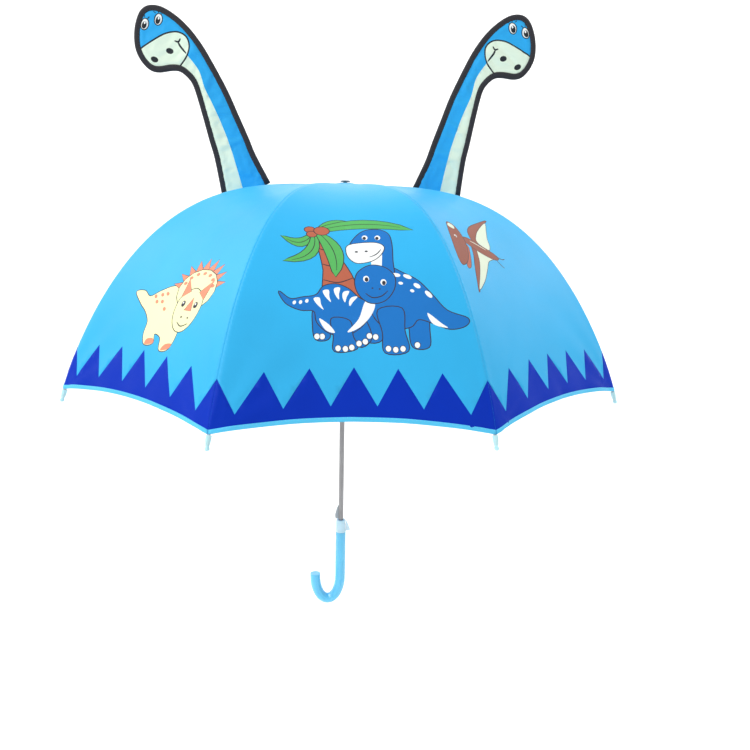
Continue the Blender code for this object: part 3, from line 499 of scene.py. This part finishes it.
def palm_and_friends():
    """Front print: a palm tree behind two blue long-necked dinosaurs."""
    out = []
    trunk = smooth([(-34, 258), (-30, 282), (-26, 306), (-24, 334), (8, 342), (4, 318), (-5, 298),
                    (-15, 280), (-20, 260)], 3)
    inked(out, trunk, "bark")
    for a, b in (((-32, 277), (-15, 279)), ((-28, 298), (-5, 296)), ((-26, 318), (3, 315))):
        out.append((stroke([a, ((a[0] + b[0]) / 2, a[1] + 3), b], 1.3), "line"))
    for start, end, bend, width in (
        ((-32, 251), (6, 237), -7, 11), ((-34, 252), (66, 249), -13, 15),
        ((-36, 253), (-69, 262), -13, 12), ((-36, 255), (-66, 296), -14, 13),
        ((-30, 256), (-14, 314), -7, 17),
    ):
        blade, vein = leaf(start, end, bend, width)
        inked(out, blade, "leaf", 0.9)
        out.append((vein, "line"))
    for x, y, r in ((-40, 250, 4.5), (-38, 257, 4.2), (-28, 251, 6.4)):
        inked(out, oval(x, y, r * 1.2, r), "bark", 0.9)
    # the taller one, behind
    inked(out, smooth([(20, 352), (32, 356), (30, 384), (13, 383)]), "dino")
    inked(out, smooth([(58, 350), (74, 352), (76, 374), (75, 391), (60, 391), (57, 374)]), "dino")
    inked(out, smooth([(38, 300), (52, 308), (67, 318), (80, 334), (94, 352), (114, 361), (111, 369),
                       (96, 372), (80, 366), (66, 362), (58, 370), (40, 372), (26, 364), (19, 346),
                       (22, 322), (30, 306)]), "dino")
    inked(out, smooth([(27, 352), (50, 350), (52, 374), (55, 395), (33, 397), (31, 376)]), "dino")
    out.append((smooth([(75, 355), (88, 366), (94, 371), (80, 367)]), "white"))
    inked(out, smooth([(0, 274), (6, 260), (16, 249), (30, 247), (40, 254), (43, 270), (43, 292),
                       (43, 314), (30, 318), (29, 302), (24, 294), (8, 294), (0, 286)]), "dino")
    out.append((smooth([(22, 292), (32, 282), (32, 300), (32, 314), (24, 310)]), "white"))
    inked(out, smooth([(-1, 272), (14, 268), (28, 268), (35, 274), (31, 285), (22, 293), (8, 296),
                       (0, 290), (-3, 281)]), "white", 0.9)
    for x, y in ((7, 281), (17, 280)):
        out.append((oval(x, y, 1.7, 1.2), "line"))
    out.append((stroke([(20, 288), (27, 284), (32, 277)], 1.2), "line"))
    for x in (16, 29):
        out.append((oval(x, 260, 2.9, 3.6), "white"))
        out.append((oval(x - 0.5, 260.8, 1.8, 2.5), "line"))
    for x, y, rx, ry, turn in ((46, 311, 4.2, 2.3, 0.2), (57, 313, 4.6, 2.3, 0.5), (50, 321, 2.4, 1.7, 0.2),
                               (66, 324, 4.0, 2.4, 0.7), (77, 334, 5.0, 2.3, 0.9), (61, 330, 2.2, 1.7, 0.5)):
        out.append((oval(x, y, rx, ry, turn), "white"))
    # the smaller one, in front
    inked(out, smooth([(0, 366), (12, 360), (20, 382), (8, 391)]), "dino")
    inked(out, smooth([(-35, 352), (-24, 362), (-20, 382), (-33, 384), (-36, 368)]), "dino")
    inked(out, smooth([(8, 338), (-2, 328), (-14, 323), (-26, 326), (-33, 336), (-46, 339), (-58, 341),
                       (-69, 333), (-62, 346), (-48, 353), (-35, 354), (-32, 366), (-22, 376),
                       (-8, 380), (6, 374), (16, 362), (18, 346)]), "dino")
    inked(out, smooth([(-18, 362), (-1, 364), (2, 380), (6, 393), (-15, 396), (-16, 380)]), "dino")
    out.append((smooth([(15, 342), (24, 345), (20, 358), (9, 371), (-3, 376), (8, 362)]), "white"))
    out.append((smooth([(-30, 362), (-20, 369), (-15, 377), (-24, 374)]), "white"))
    for x, y, lean in ((-33, 340, 0.25), (-24, 331, 0.1), (-13, 328, -0.15), (-4, 332, -0.4), (4, 338, -0.7)):
        tip = (x + 13 * math.sin(lean) + 4, y + 13 * math.cos(lean))
        out.append((smooth([(x - 2.6, y), (x + 3.2, y - 1), ((x + tip[0]) / 2 + 1, (y + tip[1]) / 2), tip,
                            ((x + tip[0]) / 2 - 3, (y + tip[1]) / 2)], 3), "white"))
    for x, y in ((-42, 343), (-48, 344.5), (-54, 345)):
        out.append((oval(x, y, 1.6, 2.2, 0.3), "white"))
    inked(out, smooth([(5, 320), (9, 307), (21, 299), (35, 302), (44, 313), (43, 328), (34, 341),
                       (20, 344), (9, 335)]), "dino")
    out.append((stroke([(15, 333), (22, 338), (31, 336), (37, 330)], 1.3), "line"))
    for x, y in ((16, 316), (33, 320)):
        out.append((oval(x, y, 3.0, 3.8), "white"))
        out.append((oval(x + 0.4, y + 0.7, 1.9, 2.7), "line"))
    for x, y in ((22, 327), (29, 328)):
        out.append((oval(x, y, 1.0, 0.8), "line"))
    for x, y in ((-12, 393), (-5, 393.5), (1, 392), (8, 388), (14, 386), (36, 393), (43, 394), (50, 393),
                 (18, 380), (24, 381), (64, 389), (-27, 381), (-32, 381)):
        inked(out, oval(x, y, 2.6, 3.0), "white", 0.6)
    return out


def horned_friend():
    """Left print: a cream horned dinosaur with a spiked frill."""
    out = []
    body = [(-58, 345), (-44, 342), (-30, 348), (-16, 340), (2, 332), (18, 334), (31, 350), (35, 370),
            (42, 384), (38, 402), (24, 405), (18, 392), (6, 389), (9, 399), (-5, 402), (-13, 391),
            (-15, 377), (-26, 366), (-40, 358)]
    inked(out, smooth(body), "cream")
    out.append((smooth([(26, 405), (38, 402), (40, 396), (30, 398)]), "coral"))
    out.append((smooth([(-4, 402), (9, 399), (6, 394), (-4, 396)]), "coral"))
    for x, y in ((-20, 347), (-10, 344), (-14, 353), (-2, 342), (-5, 352), (4, 360)):
        out.append((oval(x, y, 3.0, 2.1, 0.5), "coral"))
    for turn in range(9):
        c, s = (f(math.radians(184.0 + 20.0 * turn)) for f in (math.cos, math.sin))
        root, tip = (42 + 25 * c, 332 + 22 * s), (42 + 42 * c, 332 + 39 * s)
        spike = [(root[0] - 6 * s, root[1] + 5 * c), tip, (root[0] + 6 * s, root[1] - 5 * c)]
        inked(out, spike, "coral", 0.9)
    inked(out, oval(42, 333, 30, 25), "cream")
    for turn in range(7):
        c, s = (f(math.radians(195.0 + 25.0 * turn)) for f in (math.cos, math.sin))
        out.append((oval(42 + 24 * c, 332 + 19 * s, 3.0, 2.2), "coral"))
    inked(out, smooth([(25, 342), (42, 332), (59, 342), (62, 356), (58, 371), (48, 381), (36, 381),
                       (26, 371), (22, 356)]), "cream")
    for points in ([(24, 344), (23, 321), (35, 336)], [(50, 336), (64, 320), (61, 344)],
                   [(38, 358), (45, 343), (49, 358)]):
        inked(out, points, "coral", 0.9)
    for x in (32, 53):
        out.append((oval(x, 351, 3.2, 3.8), "line"))
        out.append((oval(x - 0.8, 349.8, 1.1, 1.3), "white"))
    for x in (38, 49):
        out.append((oval(x, 366, 1.5, 1.1), "line"))
    out.append((stroke([(34, 372), (43, 376), (53, 372)], 1.4), "line"))
    return out


def flying_friend():
    """Right print: a brown flying reptile with cream wings."""
    out = []
    inked(out, smooth([(-34, 268), (-28, 250), (-10, 236), (20, 227), (46, 222), (10, 240), (-12, 254),
                       (-24, 270)]), "brown", 0.9)
    inked(out, smooth([(-24, 268), (-12, 254), (8, 241), (36, 228), (20, 246), (6, 262), (-2, 276),
                       (-12, 283)]), "wing", 0.8)
    inked(out, smooth([(-44, 274), (-36, 281), (-52, 304), (-74, 328), (-93, 349), (-74, 316),
                       (-56, 292)]), "brown", 0.9)
    inked(out, smooth([(-37, 280), (-24, 288), (-12, 298), (-30, 303), (-48, 318), (-68, 334),
                       (-89, 345), (-70, 324), (-52, 303)]), "wing", 0.8)
    inked(out, smooth([(-58, 262), (-42, 260), (-24, 274), (-6, 290), (-2, 299), (-14, 300), (-32, 290),
                       (-48, 276)]), "brown", 0.9)
    jaw = [(-62, 274), (-55, 277), (-66, 294), (-80, 311), (-88, 311), (-74, 292)]
    inked(out, smooth(jaw, 4), "bark", 0.8)
    inked(out, smooth([(-63, 236), (-54, 228), (-47, 236), (-50, 258), (-60, 280), (-80, 302), (-98, 307),
                       (-93, 286), (-78, 258)]), "brown", 0.9)
    out.append((smooth([(-62, 237), (-54, 230), (-49, 236), (-54, 243)]), "wing"))
    out.append((oval(-66, 258, 2.2, 2.6), "white"))
    out.append((oval(-66.4, 258.6, 1.2, 1.5), "line"))
    out.append((stroke([(-5, 294), (4, 300), (12, 300)], 1.8), "line"))
    out.append((stroke([(-10, 299), (-6, 309), (-2, 315)], 1.8), "line"))
    out.append((stroke([(-40, 266), (-30, 273), (-18, 283)], 1.6), "wing"))
    return out


# design, scale, the point it is scaled about and its shift, mm on the flat gore
PRINTS = {
    1: (palm_and_friends, 1.0, (20, 320), (-3, -12)),
    8: (horned_friend, 1.0, (10, 350), (0, -8)),
    2: (flying_friend, 0.84, (-25, 268), (0, -15)),
}


def placed_print(arm):
    """Layers of a gore's print, scaled and shifted to where they are printed."""
    design, scale, about, shift = PRINTS[arm]
    about, shift = np.array(about, float), np.array(shift, float)
    return [((np.array(loop, float) - about) * scale + about + shift, ink) for loop, ink in design()]


# ---------------------------------------------------------------- gores, hems and seams

def bend_with(piece):
    """Bake a piece's placement into its mesh."""
    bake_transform(piece)


def gore_fill(quick):
    """Points spread over a flat gore, closer beside its seams."""
    step = 11.0 if quick else 5.2
    rows = max(8, int(LENGTH_MM / step))
    out = []
    for i in range(1, rows):
        s = LENGTH_MM * i / rows
        width = width_mm(s)
        count = max(2, int(width / step))
        xs = [width * (j / count - 0.5) for j in range(1, count)]
        if width > 16.0:
            xs += [side * (width / 2.0 - inset) for side in (-1.0, 1.0) for inset in (1.6, 3.4)]
        out += [(x, s) for x in xs if s < hem_mm(x / width + 0.5) - 2.0]
    return out


def gore_outline(quick):
    """Edge of a flat gore, the same along both seams."""
    rows, columns = (40, 40) if quick else (90, 84)
    down = [LENGTH_MM * i / rows for i in range(rows + 1)]
    left = [(-width_mm(s) / 2.0, s) for s in down]
    hem = []
    for j in range(1, columns):
        s = hem_mm(j / columns)
        hem.append(((j / columns - 0.5) * width_mm(s), s))
    right = [(width_mm(s) / 2.0, s) for s in reversed(down)]
    return left + hem + right


def thick_sheet(arm, flat, tris, lift, half):
    """Both faces of a sheet and its rim, from a flat triangulation."""
    top = [spot(arm, x, s, lift + half) for x, s in flat]
    low = [spot(arm, x, s, lift - half) for x, s in flat]
    return top + low, rim_faces(tris, len(flat))


def rim_faces(tris, count):
    """Triangles of the front, the back and the rim between them."""
    used = {}
    for a, b, c in tris:
        for edge in ((a, b), (b, c), (c, a)):
            used[edge] = used.get(edge, 0) + 1
    rim = [(a, b) for a, b in used if (b, a) not in used]
    faces = [tuple(t) for t in tris] + [(t[0] + count, t[2] + count, t[1] + count) for t in tris]
    faces += [(b, a, a + count, b + count) for a, b in rim]
    return faces, len(rim)


def upwards(flat, tris):
    """Turn every flat triangle the way that faces out of the canopy."""
    a, b, c = (flat[tris[:, i]] for i in range(3))
    sign = (b[:, 0] - a[:, 0]) * (c[:, 1] - a[:, 1]) - (b[:, 1] - a[:, 1]) * (c[:, 0] - a[:, 0])
    turned = tris.copy()
    turned[sign > 0] = tris[sign > 0][:, [0, 2, 1]]
    return turned


def make_gore(arm):
    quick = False
    layers = placed_print(arm) if arm in PRINTS else []
    layers.append((zigzag(), "zig"))
    flat, tris, ink = painted(gore_outline(quick), layers, gore_fill(quick))
    tris = upwards(flat, tris)
    points, (faces, rim) = thick_sheet(arm, flat, tris, 0.0, 0.2 * MM)
    looks = INK_LOOKS + UNDER_LOOKS
    inks = list(ink) + [i + len(INK_LOOKS) for i in ink] + [0] * rim
    gore = mesh_object(f"cloth_{arm}", points, faces, looks, inks, list(flat) * 2)
    for a, b, c in flat[tris]:
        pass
    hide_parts(f"gore_{arm}")
    bend_with(gore)
    hem = make_hem(arm)
    seam = make_seam(arm)


def ring_faces(rows, ring, closed_ends=True):
    """Faces of a tube with a closed section, from its rows of points."""
    faces = []
    for i in range(rows - 1):
        for j in range(ring):
            k = (j + 1) % ring
            faces.append((i * ring + j, i * ring + k, (i + 1) * ring + k, (i + 1) * ring + j))
    if closed_ends:
        faces.append(tuple(range(ring - 1, -1, -1)))
        faces.append(tuple((rows - 1) * ring + j for j in range(ring)))
    return faces


def add_stitches(points, faces, inks, ends, up, ink, wide=0.35 * MM):
    """Short raised threads between pairs of points, each a small lozenge."""
    for (a, b), lift in zip(ends, up):
        along = (b - a).normalized()
        side = along.cross(lift).normalized() * wide
        middle = (a + b) / 2.0
        first = len(points)
        points += [a, middle + side, b, middle - side, middle + lift * (0.35 * MM)]
        faces += [(first + i, first + (i + 1) % 4, first + 4) for i in range(4)]
        inks += [ink] * 4


def make_hem(arm):
    """Binding tape folded over a gore's hem, with a row of stitches."""
    steps = 84
    section = [(-3.9, 0.75), (-2.0, 0.95), (-0.4, 0.85), (0.5, 0.35), (0.5, -0.35), (-0.4, -0.85),
               (-2.0, -0.95), (-3.9, -0.75)]
    points, rows = [], 0
    for i in range(steps + 1):
        across = min(0.9985, max(0.0015, i / steps))
        s = hem_mm(across)
        for down, lift in section:
            t = min(LENGTH_MM, s + min(0.0, down))
            base = spot(arm, (across - 0.5) * width_mm(t), t, lift * MM)
            points.append(base + Vector((0.0, 0.0, -max(0.0, down) * MM)))
        rows += 1
    faces = ring_faces(rows, len(section))
    inks = [0] * len(faces)
    ends, up = [], []
    count = 70
    for i in range(2, count - 2):
        pair = []
        for share in (i / count + 0.001, (i + 0.62) / count):
            s = hem_mm(share) - 2.9
            pair.append(spot(arm, (share - 0.5) * width_mm(s), s, 0.90 * MM))
        middle = outward(azimuth(arm) + ARM_STEP / 2.0)
        ends.append(pair)
        up.append(middle)
    add_stitches(points, faces, inks, ends, up, 1, 0.28 * MM)
    flat = [(p.x * 1000.0, p.z * 1000.0) for p in points]
    hem = mesh_object(f"hem_tape_{arm}", points, faces, [HEM, THREAD], inks, flat)
    bend_with(hem)
    return hem


def make_seam(arm):
    """Seam allowance under a rib's seam: a narrow tape with an overlocked edge, bent over the rib."""
    rows = 120
    before = (arm - 2) % ARMS + 1
    points = []
    for i in range(rows + 1):
        s = LENGTH_MM * (0.03 + 0.945 * i / rows)
        half = width_mm(s) / 2.0
        wide = min(3.2 + 0.25 * math.sin(i * 1.9), half * 0.8)
        middle = (spot(before, half, s, 0.0) + spot(arm, -half, s, 0.0)) / 2.0
        down = middle - spot(arm, -half, s, 1.0 * MM)
        for depth in (0.40, 0.70):
            ring = [spot(before, half - wide, s, -depth * MM), middle + down * depth,
                    spot(arm, wide - half, s, -depth * MM)]
            points += ring if depth < 0.5 else ring[::-1]
    faces = ring_faces(rows + 1, 6)
    flat = [(p.x * 1000.0, p.z * 1000.0) for p in points]
    seam = mesh_object(f"seam_tape_{arm}", points, faces, [SEAM], None, flat)
    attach(seam, f"rib_{arm}")
    return seam


for arm in range(1, ARMS + 1):
    make_gore(arm)


# ---------------------------------------------------------------- necks

def gore_z(x):
    """Height of the side gores' middle line at a distance from the shaft."""
    low, high = 0.0, LENGTH_MM * 0.9
    for _ in range(24):
        middle = (low + high) / 2.0
        if spot(3, 0.0, middle).x < x:
            low = middle
        else:
            high = middle
    return spot(3, 0.0, low).z


def placed(side, u, v):
    """A point of a neck's own flat pattern (millimetres) as (outwards, up) in metres."""
    lean = NECK_LEAN[side]
    u, v = u * MM, v * MM
    x = u * math.cos(lean) + v * math.sin(lean)
    return (NECK_X[side] + x, NECK_Z + v * math.cos(lean) - u * math.sin(lean))


def neck_path(side, inset):
    """A neck's outline moved inwards, cut where it meets the canopy."""
    line = np.array([placed(side, u, v) for u, v in smooth(NECK_OUTLINE_MM, 6, False)])
    along = np.gradient(line, axis=0)
    along /= np.hypot(along[:, 0], along[:, 1])[:, None]
    line = line + np.stack([-along[:, 1], along[:, 0]], 1) * inset
    floor = np.array([gore_z(x) for x in line[:, 0]])
    above = np.flatnonzero(line[:, 1] > floor)
    return line, above[0], above[-1], floor


def neck_face():
    """Prints of a neck in its own flat pattern: pale throat, muzzle, nostrils, smile and eyes."""
    out = [
        (smooth([(69, 157), (55, 139), (48, 118), (38, 98), (27, 73), (16, 43), (4, 1), (-4, -30)], 4, False)
         + [(70, -40), (80, 60), (90, 110), (96, 136), (79, 142.9)], "pale"),
    ]
    muzzle = smooth([(126, 160), (108, 171.5), (93.5, 179.5), (80.3, 182), (70.5, 177.5), (67, 168.5),
                     (69.5, 156), (80, 142.5)], 5, False) + [(90, 120), (140, 122), (150, 150)]
    out += [(grown(muzzle, 1.8), "ink"), (muzzle, "pale")]
    out.append((stroke([(79.5, 171.5), (76.5, 166), (69.5, 158)], 2.4), "ink"))
    out.append((stroke([(83.5, 172.5), (79.0, 171.5), (76.5, 175.5)], 2.2), "ink"))
    for u, v, turn in ((108, 150.0, 0.4), (89.5, 160.5, 0.2)):
        out.append((oval(u, v, 4.6, 3.4, turn), "ink"))
    for u, v in ((118.5, 190.0), (102.0, 196.0)):
        out.append((oval(u, v, 5.2, 7.3, 0.35, 20), "ink"))
        out.append((oval(u, v, 4.0, 6.1, 0.35, 20), "white"))
        out.append((oval(u + 0.6, v - 1.0, 2.8, 4.4, 0.35, 18), "ink"))
        out.append((oval(u - 0.4, v + 1.4, 1.0, 1.6, 0.35), "white"))
        for k in (-0.9, -0.3, 0.3):
            top = (u - 7.2 * math.sin(0.35 + k * 0.8), v + 7.4 * math.cos(0.35 + k * 0.8))
            end = (u - 10.4 * math.sin(0.35 + k), v + 10.6 * math.cos(0.35 + k))
            out.append((stroke([top, ((top[0] + end[0]) / 2 + 0.4, (top[1] + end[1]) / 2), end], 1.1), "ink"))
    return out


NECK_INKS = {"pale": 1, "ink": 2, "white": 3}


def simulated_pouch(outline):
    """Half thickness of a stuffed neck, from a cloth pouch blown up against its sewn edge."""
    ring = np.array(outline)
    low, high = ring.min(0), ring.max(0)
    step = 4.2 * MM
    grid = [(x, z) for x in np.arange(low[0], high[0], step) for z in np.arange(low[1], high[1], step * 0.87)]
    odd = [int(round((z - low[1]) / step / 0.87)) % 2 for x, z in grid]
    grid = np.array([(x + (step / 2 if shifted else 0.0), z) for (x, z), shifted in zip(grid, odd)])
    grid = grid[inside(grid, outline)]
    gaps = np.min(np.hypot(grid[:, None, 0] - ring[None, :, 0], grid[:, None, 1] - ring[None, :, 1]), axis=1)
    grid = grid[gaps > step * 0.55]
    flat, tris, _ = painted([tuple(1000 * p) for p in ring], [], [tuple(1000 * p) for p in grid])
    flat = flat / 1000.0
    count = len(flat)
    edge = np.array([min(np.hypot(*(ring - p).T)) < 1e-6 for p in flat])
    remap, points = {}, []
    for half in (-1.0, 1.0):
        for i, (x, z) in enumerate(flat):
            if half > 0 and edge[i]:
                remap[i + count] = remap[i]
            else:
                remap[i + (count if half > 0 else 0)] = len(points)
                points.append((x, 0.0 if edge[i] else half * 1.5 * MM, z))
    turned = upwards(flat, tris)
    faces = [tuple(remap[i] for i in t) for t in turned]
    faces += [(remap[t[0] + count], remap[t[2] + count], remap[t[1] + count]) for t in turned]
    pouch = mesh_object("pouch", points, faces, [TAPE])
    pinned = pouch.vertex_groups.new(name="sewn")
    pinned.add([remap[i] for i in range(count) if edge[i]], 1.0, "REPLACE")
    sim = pouch.modifiers.new("cloth", "CLOTH")
    sim.settings.quality = 6
    sim.settings.mass = 0.2
    sim.settings.tension_stiffness = 18.0
    sim.settings.compression_stiffness = 18.0
    sim.settings.shear_stiffness = 8.0
    sim.settings.bending_stiffness = 0.25
    sim.settings.use_pressure = True
    sim.settings.uniform_pressure_force = 4.0
    sim.settings.shrink_min = -0.035
    sim.settings.vertex_group_mass = "sewn"
    sim.settings.effector_weights.gravity = 0.0
    sim.collision_settings.use_self_collision = False
    sim.point_cache.frame_start = 1
    sim.point_cache.frame_end = 20
    for frame_number in range(1, 21):
        bpy.context.scene.frame_set(frame_number)
    graph = bpy.context.evaluated_depsgraph_get()
    blown = bpy.data.meshes.new_from_object(pouch.evaluated_get(graph))
    corners = [v.co.copy() for v in blown.vertices]
    tree = BVHTree.FromPolygons(corners, [tuple(p.vertices) for p in blown.polygons])
    bpy.data.objects.remove(pouch)
    bpy.context.scene.frame_set(1)

    def front(x, z):
        hit = tree.ray_cast(Vector((x, -0.06, z)), Vector((0.0, 1.0, 0.0)))[0]
        return -hit.y if hit is not None else 0.0

    def back(x, z):
        hit = tree.ray_cast(Vector((x, 0.06, z)), Vector((0.0, -1.0, 0.0)))[0]
        return hit.y if hit is not None else 0.0

    return front, back


def make_neck(side):
    sign = -1.0 if side == "left" else 1.0
    body = f"neck_{side}"
    line, first, last, _ = neck_path(side, 6.2 * MM)
    rim = [tuple(p) for p in line[first:last + 1]]
    foot_count = 14
    foot = []
    for i in range(foot_count + 1):
        x = rim[-1][0] + (rim[0][0] - rim[-1][0]) * i / foot_count
        foot.append((x, gore_z(x) + 0.45 * MM))
    outline = rim[:-1] + foot[:-1]
    outline = outline[1:] + outline[:1]
    layers = [([placed(side, u, v) for u, v in shape], NECK_INKS[ink]) for shape, ink in neck_face()]
    ring = np.array(outline)
    low, high = ring.min(0), ring.max(0)
    step = 2.6 * MM
    fill = [(x, z) for x in np.arange(low[0], high[0], step) for z in np.arange(low[1], high[1], step)]
    fill = np.array(fill)[inside(np.array(fill), outline)]
    scale = 1000.0
    big = [tuple(scale * c for c in p) for p in outline]
    big_layers = [([tuple(scale * c for c in p) for p in shape], ink) for shape, ink in layers]
    flat, tris, ink = painted(big, big_layers, [tuple(scale * p) for p in fill])
    flat = flat / scale
    tris = upwards(flat, tris)
    gaps = np.array([min(np.hypot(*(ring - p).T)) for p in flat])
    front, back = simulated_pouch(outline)
    near, far = [], []
    for (x, z), gap in zip(flat, gaps):
        puff = 5.0 * MM * (1.0 - math.exp(-gap / (9.0 * MM)))
        base = 1.9 * MM
        crease = 0.5 * MM * math.sin(z * 210.0 + 60.0 * x) * (1.0 - math.exp(-gap / 0.012))
        rise = 1.0 - math.exp(-gap / (2.5 * MM))
        hits = (puff + crease, puff + crease) if front is None else (front(x, z), back(x, z))
        heights = [base + rise * min(7.0 * MM, max(0.0, h)) for h in hits]
        near.append(Vector((sign * x, -heights[0], z)))
        far.append(Vector((sign * x, heights[1], z)))
    faces, rim_count = rim_faces(tris, len(flat))
    if sign < 0:
        faces = [tuple(reversed(f)) for f in faces]
    inks = list(ink) * 2 + [0] * rim_count
    looks = [NECK_BLUE, NECK_PALE, NECK_LINE, NECK_WHITE]
    neck = mesh_object(f"{body}_pad", near + far, faces, looks, inks, [p * scale for p in flat] * 2)
    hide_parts(body)
    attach(neck, body)
    make_neck_tape(side, sign, body)


def make_neck_tape(side, sign, body):
    """Charcoal tape folded over a neck's edge, rounded, with stitches inside its edge."""
    across = [(0.0, 0.0), (0.15, 1.6), (1.0, 2.7), (2.6, 3.25),
              (4.6, 3.3), (6.0, 3.0), (7.0, 2.5), (7.5, 1.5)]
    paths = [neck_path(side, o * MM) for o, _ in across]
    first, last = paths[0][1], paths[0][2]
    points, rows = [], 0
    for i in range(first, last + 1):
        ring = []
        for (line, _, _, floor), (_, half) in zip(paths, across):
            z = max(line[i][1], floor[i] + 0.5 * MM)
            ring.append((line[i][0], z, half * MM))
        loop = [(x, -h, z) for x, z, h in ring] + [(x, h, z) for x, z, h in reversed(ring)][:-1]
        points += [Vector((sign * x, y, z)) for x, y, z in loop]
        rows += 1
    count = 2 * len(across) - 1
    faces = ring_faces(rows, count)
    if sign > 0:
        faces = [tuple(reversed(f)) for f in faces]
    inks = [0] * len(faces)
    stitch_line, a, b, floor = neck_path(side, 5.9 * MM)
    spaced = np.concatenate([[0.0], np.cumsum(np.hypot(*np.diff(stitch_line, axis=0).T))])
    at, ends, up = spaced[a] + 4.0 * MM, [], []
    while at < spaced[b] - 4.0 * MM:
        pair = [[np.interp(at + d, spaced, stitch_line[:, k]) for k in (0, 1)] for d in (0.0, 2.1 * MM)]
        for y in (-1.0, 1.0):
            ends.append([Vector((sign * p[0], y * 3.0 * MM, p[1])) for p in pair])
            up.append(Vector((0.0, y, 0.0)))
        at += 3.2 * MM
    add_stitches(points, faces, inks, ends, up, 1)
    tape = mesh_object(f"{body}_tape", points, faces, [TAPE, DARK_THREAD], inks)
    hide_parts(f"{body}_binding")
    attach(tape, body)


for side in NECK_X:
    make_neck(side)


# ---------------------------------------------------------------- closure strap

def make_strap():
    """The strap that lies on the rear gore, with stitched edges."""
    arm, rows, columns = 5, 6, 60
    top, bottom = 0.780 * LENGTH_MM, 0.815 * LENGTH_MM
    start, end = 0.50, 0.95
    points, faces, flat = [], [], []
    for half in (1.85, 0.95):
        for i in range(rows + 1):
            for j in range(columns + 1):
                s = top + (bottom - top) * i / rows
                x = (start + (end - start) * j / columns - 0.5) * width_mm(s)
                wave = 0.15 * math.sin(j / 4.0)
                points.append(spot(arm, x, s, (half + wave) * MM))
                flat.append((x, s))
    wide = columns + 1
    count = (rows + 1) * wide
    tris = []
    for i in range(rows):
        for j in range(columns):
            a, b = i * wide + j, (i + 1) * wide + j
            tris += [(a, b, b + 1), (a, b + 1, a + 1)]
    faces, rim = rim_faces(tris, count)
    inks = [0] * len(faces)
    ends, up = [], []
    outwards = outward(azimuth(arm) + ARM_STEP / 2.0)
    for s in (top + 2.0, bottom - 2.0):
        for j in range(1, 34):
            pair = []
            for k in (j / 35.0, (j + 0.6) / 35.0):
                x = (start + (end - start) * k - 0.5) * width_mm(s)
                pair.append(spot(arm, x, s, 1.98 * MM))
            ends.append(pair)
            up.append(outwards)
    strap = mesh_object("strap", points, faces, [STRAP], inks, flat)
    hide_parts("closure_strap")
    points, faces, inks = [], [], []
    add_stitches(points, faces, inks, ends, up, 0, 0.3 * MM)
    thread = mesh_object("strap_stitches", points, faces, [THREAD], inks)
    for piece in (strap, thread):
        bend_with(piece)


make_strap()


# ---------------------------------------------------------------- studio

def make_studio():
    """A pale sweep: a floor that curves up behind the object."""
    profile = [(-9.0, 0.0), (1.6, 0.0)]
    profile += [(1.6 + 1.4 * math.sin(a), 1.4 - 1.4 * math.cos(a)) for a in np.linspace(0.1, math.pi / 2, 12)]
    profile.append((3.0, 7.0))
    points = [(x, y, z - 0.62) for y, z in profile for x in (-9.0, 9.0)]
    faces = [(2 * i, 2 * i + 1, 2 * i + 3, 2 * i + 2) for i in range(len(profile) - 1)]
    mesh = bpy.data.meshes.new("sweep")
    mesh.from_pydata(points, [], faces)
    mesh.polygons.foreach_set("use_smooth", np.ones(len(faces), bool))
    sweep = bpy.data.objects.new("sweep", mesh)
    bpy.context.scene.collection.objects.link(sweep)
    pale, _, shader = shader_of("pale_sweep")
    shader.inputs["Base Color"].default_value = (0.92, 0.92, 0.92, 1.0)
    shader.inputs["Roughness"].default_value = 0.9
    mesh.materials.append(pale)


def area_light(name, place, aim, size, power, colour=(1.0, 1.0, 1.0)):
    data = bpy.data.lights.new(name, "AREA")
    data.energy = power
    data.size = size
    data.color = colour
    lamp = bpy.data.objects.new(name, data)
    lamp.location = place
    lamp.rotation_euler = (Vector(aim) - Vector(place)).to_track_quat("-Z", "Y").to_euler()
    bpy.context.scene.collection.objects.link(lamp)


def make_camera():
    """The view of the photograph: slightly from the left, looking a little down."""
    place = Vector((-0.0347, -0.9953, 0.4624))
    yaw, pitch, roll, lens = 0.0787, -0.1996, 0.0218, 35.99
    ahead = Vector((math.sin(yaw) * math.cos(pitch), math.cos(yaw) * math.cos(pitch), math.sin(pitch)))
    right = Vector((math.cos(yaw), -math.sin(yaw), 0.0))
    up = right.cross(ahead)
    across = right * math.cos(roll) + up * math.sin(roll)
    upward = up * math.cos(roll) - right * math.sin(roll)
    data = bpy.data.cameras.new("camera")
    data.lens = lens
    data.sensor_width = 36.0
    camera = bpy.data.objects.new("camera", data)
    turn = Matrix((across, upward, -ahead)).transposed().to_4x4()
    camera.matrix_world = Matrix.Translation(place) @ turn
    bpy.context.scene.collection.objects.link(camera)
    bpy.context.scene.camera = camera


make_studio()
area_light("key", (-2.4, -1.7, 2.0), (0.0, 0.0, 0.35), 1.4, 50.0)
area_light("fill", (1.6, -2.6, 0.9), (0.0, 0.0, 0.3), 2.0, 9.0)
area_light("back_left", (-2.6, 0.6, 2.6), (-0.6, 3.0, 1.0), 1.6, 70.0)
area_light("back_right", (2.6, 0.6, 2.6), (0.6, 3.0, 1.0), 1.6, 90.0)
world = bpy.data.worlds.new("studio")
world.use_nodes = True
world.node_tree.nodes["Background"].inputs["Color"].default_value = (1.0, 1.0, 1.0, 1.0)
world.node_tree.nodes["Background"].inputs["Strength"].default_value = 0.62
bpy.context.scene.world = world
bpy.context.scene.view_settings.view_transform = "Standard"
make_camera()
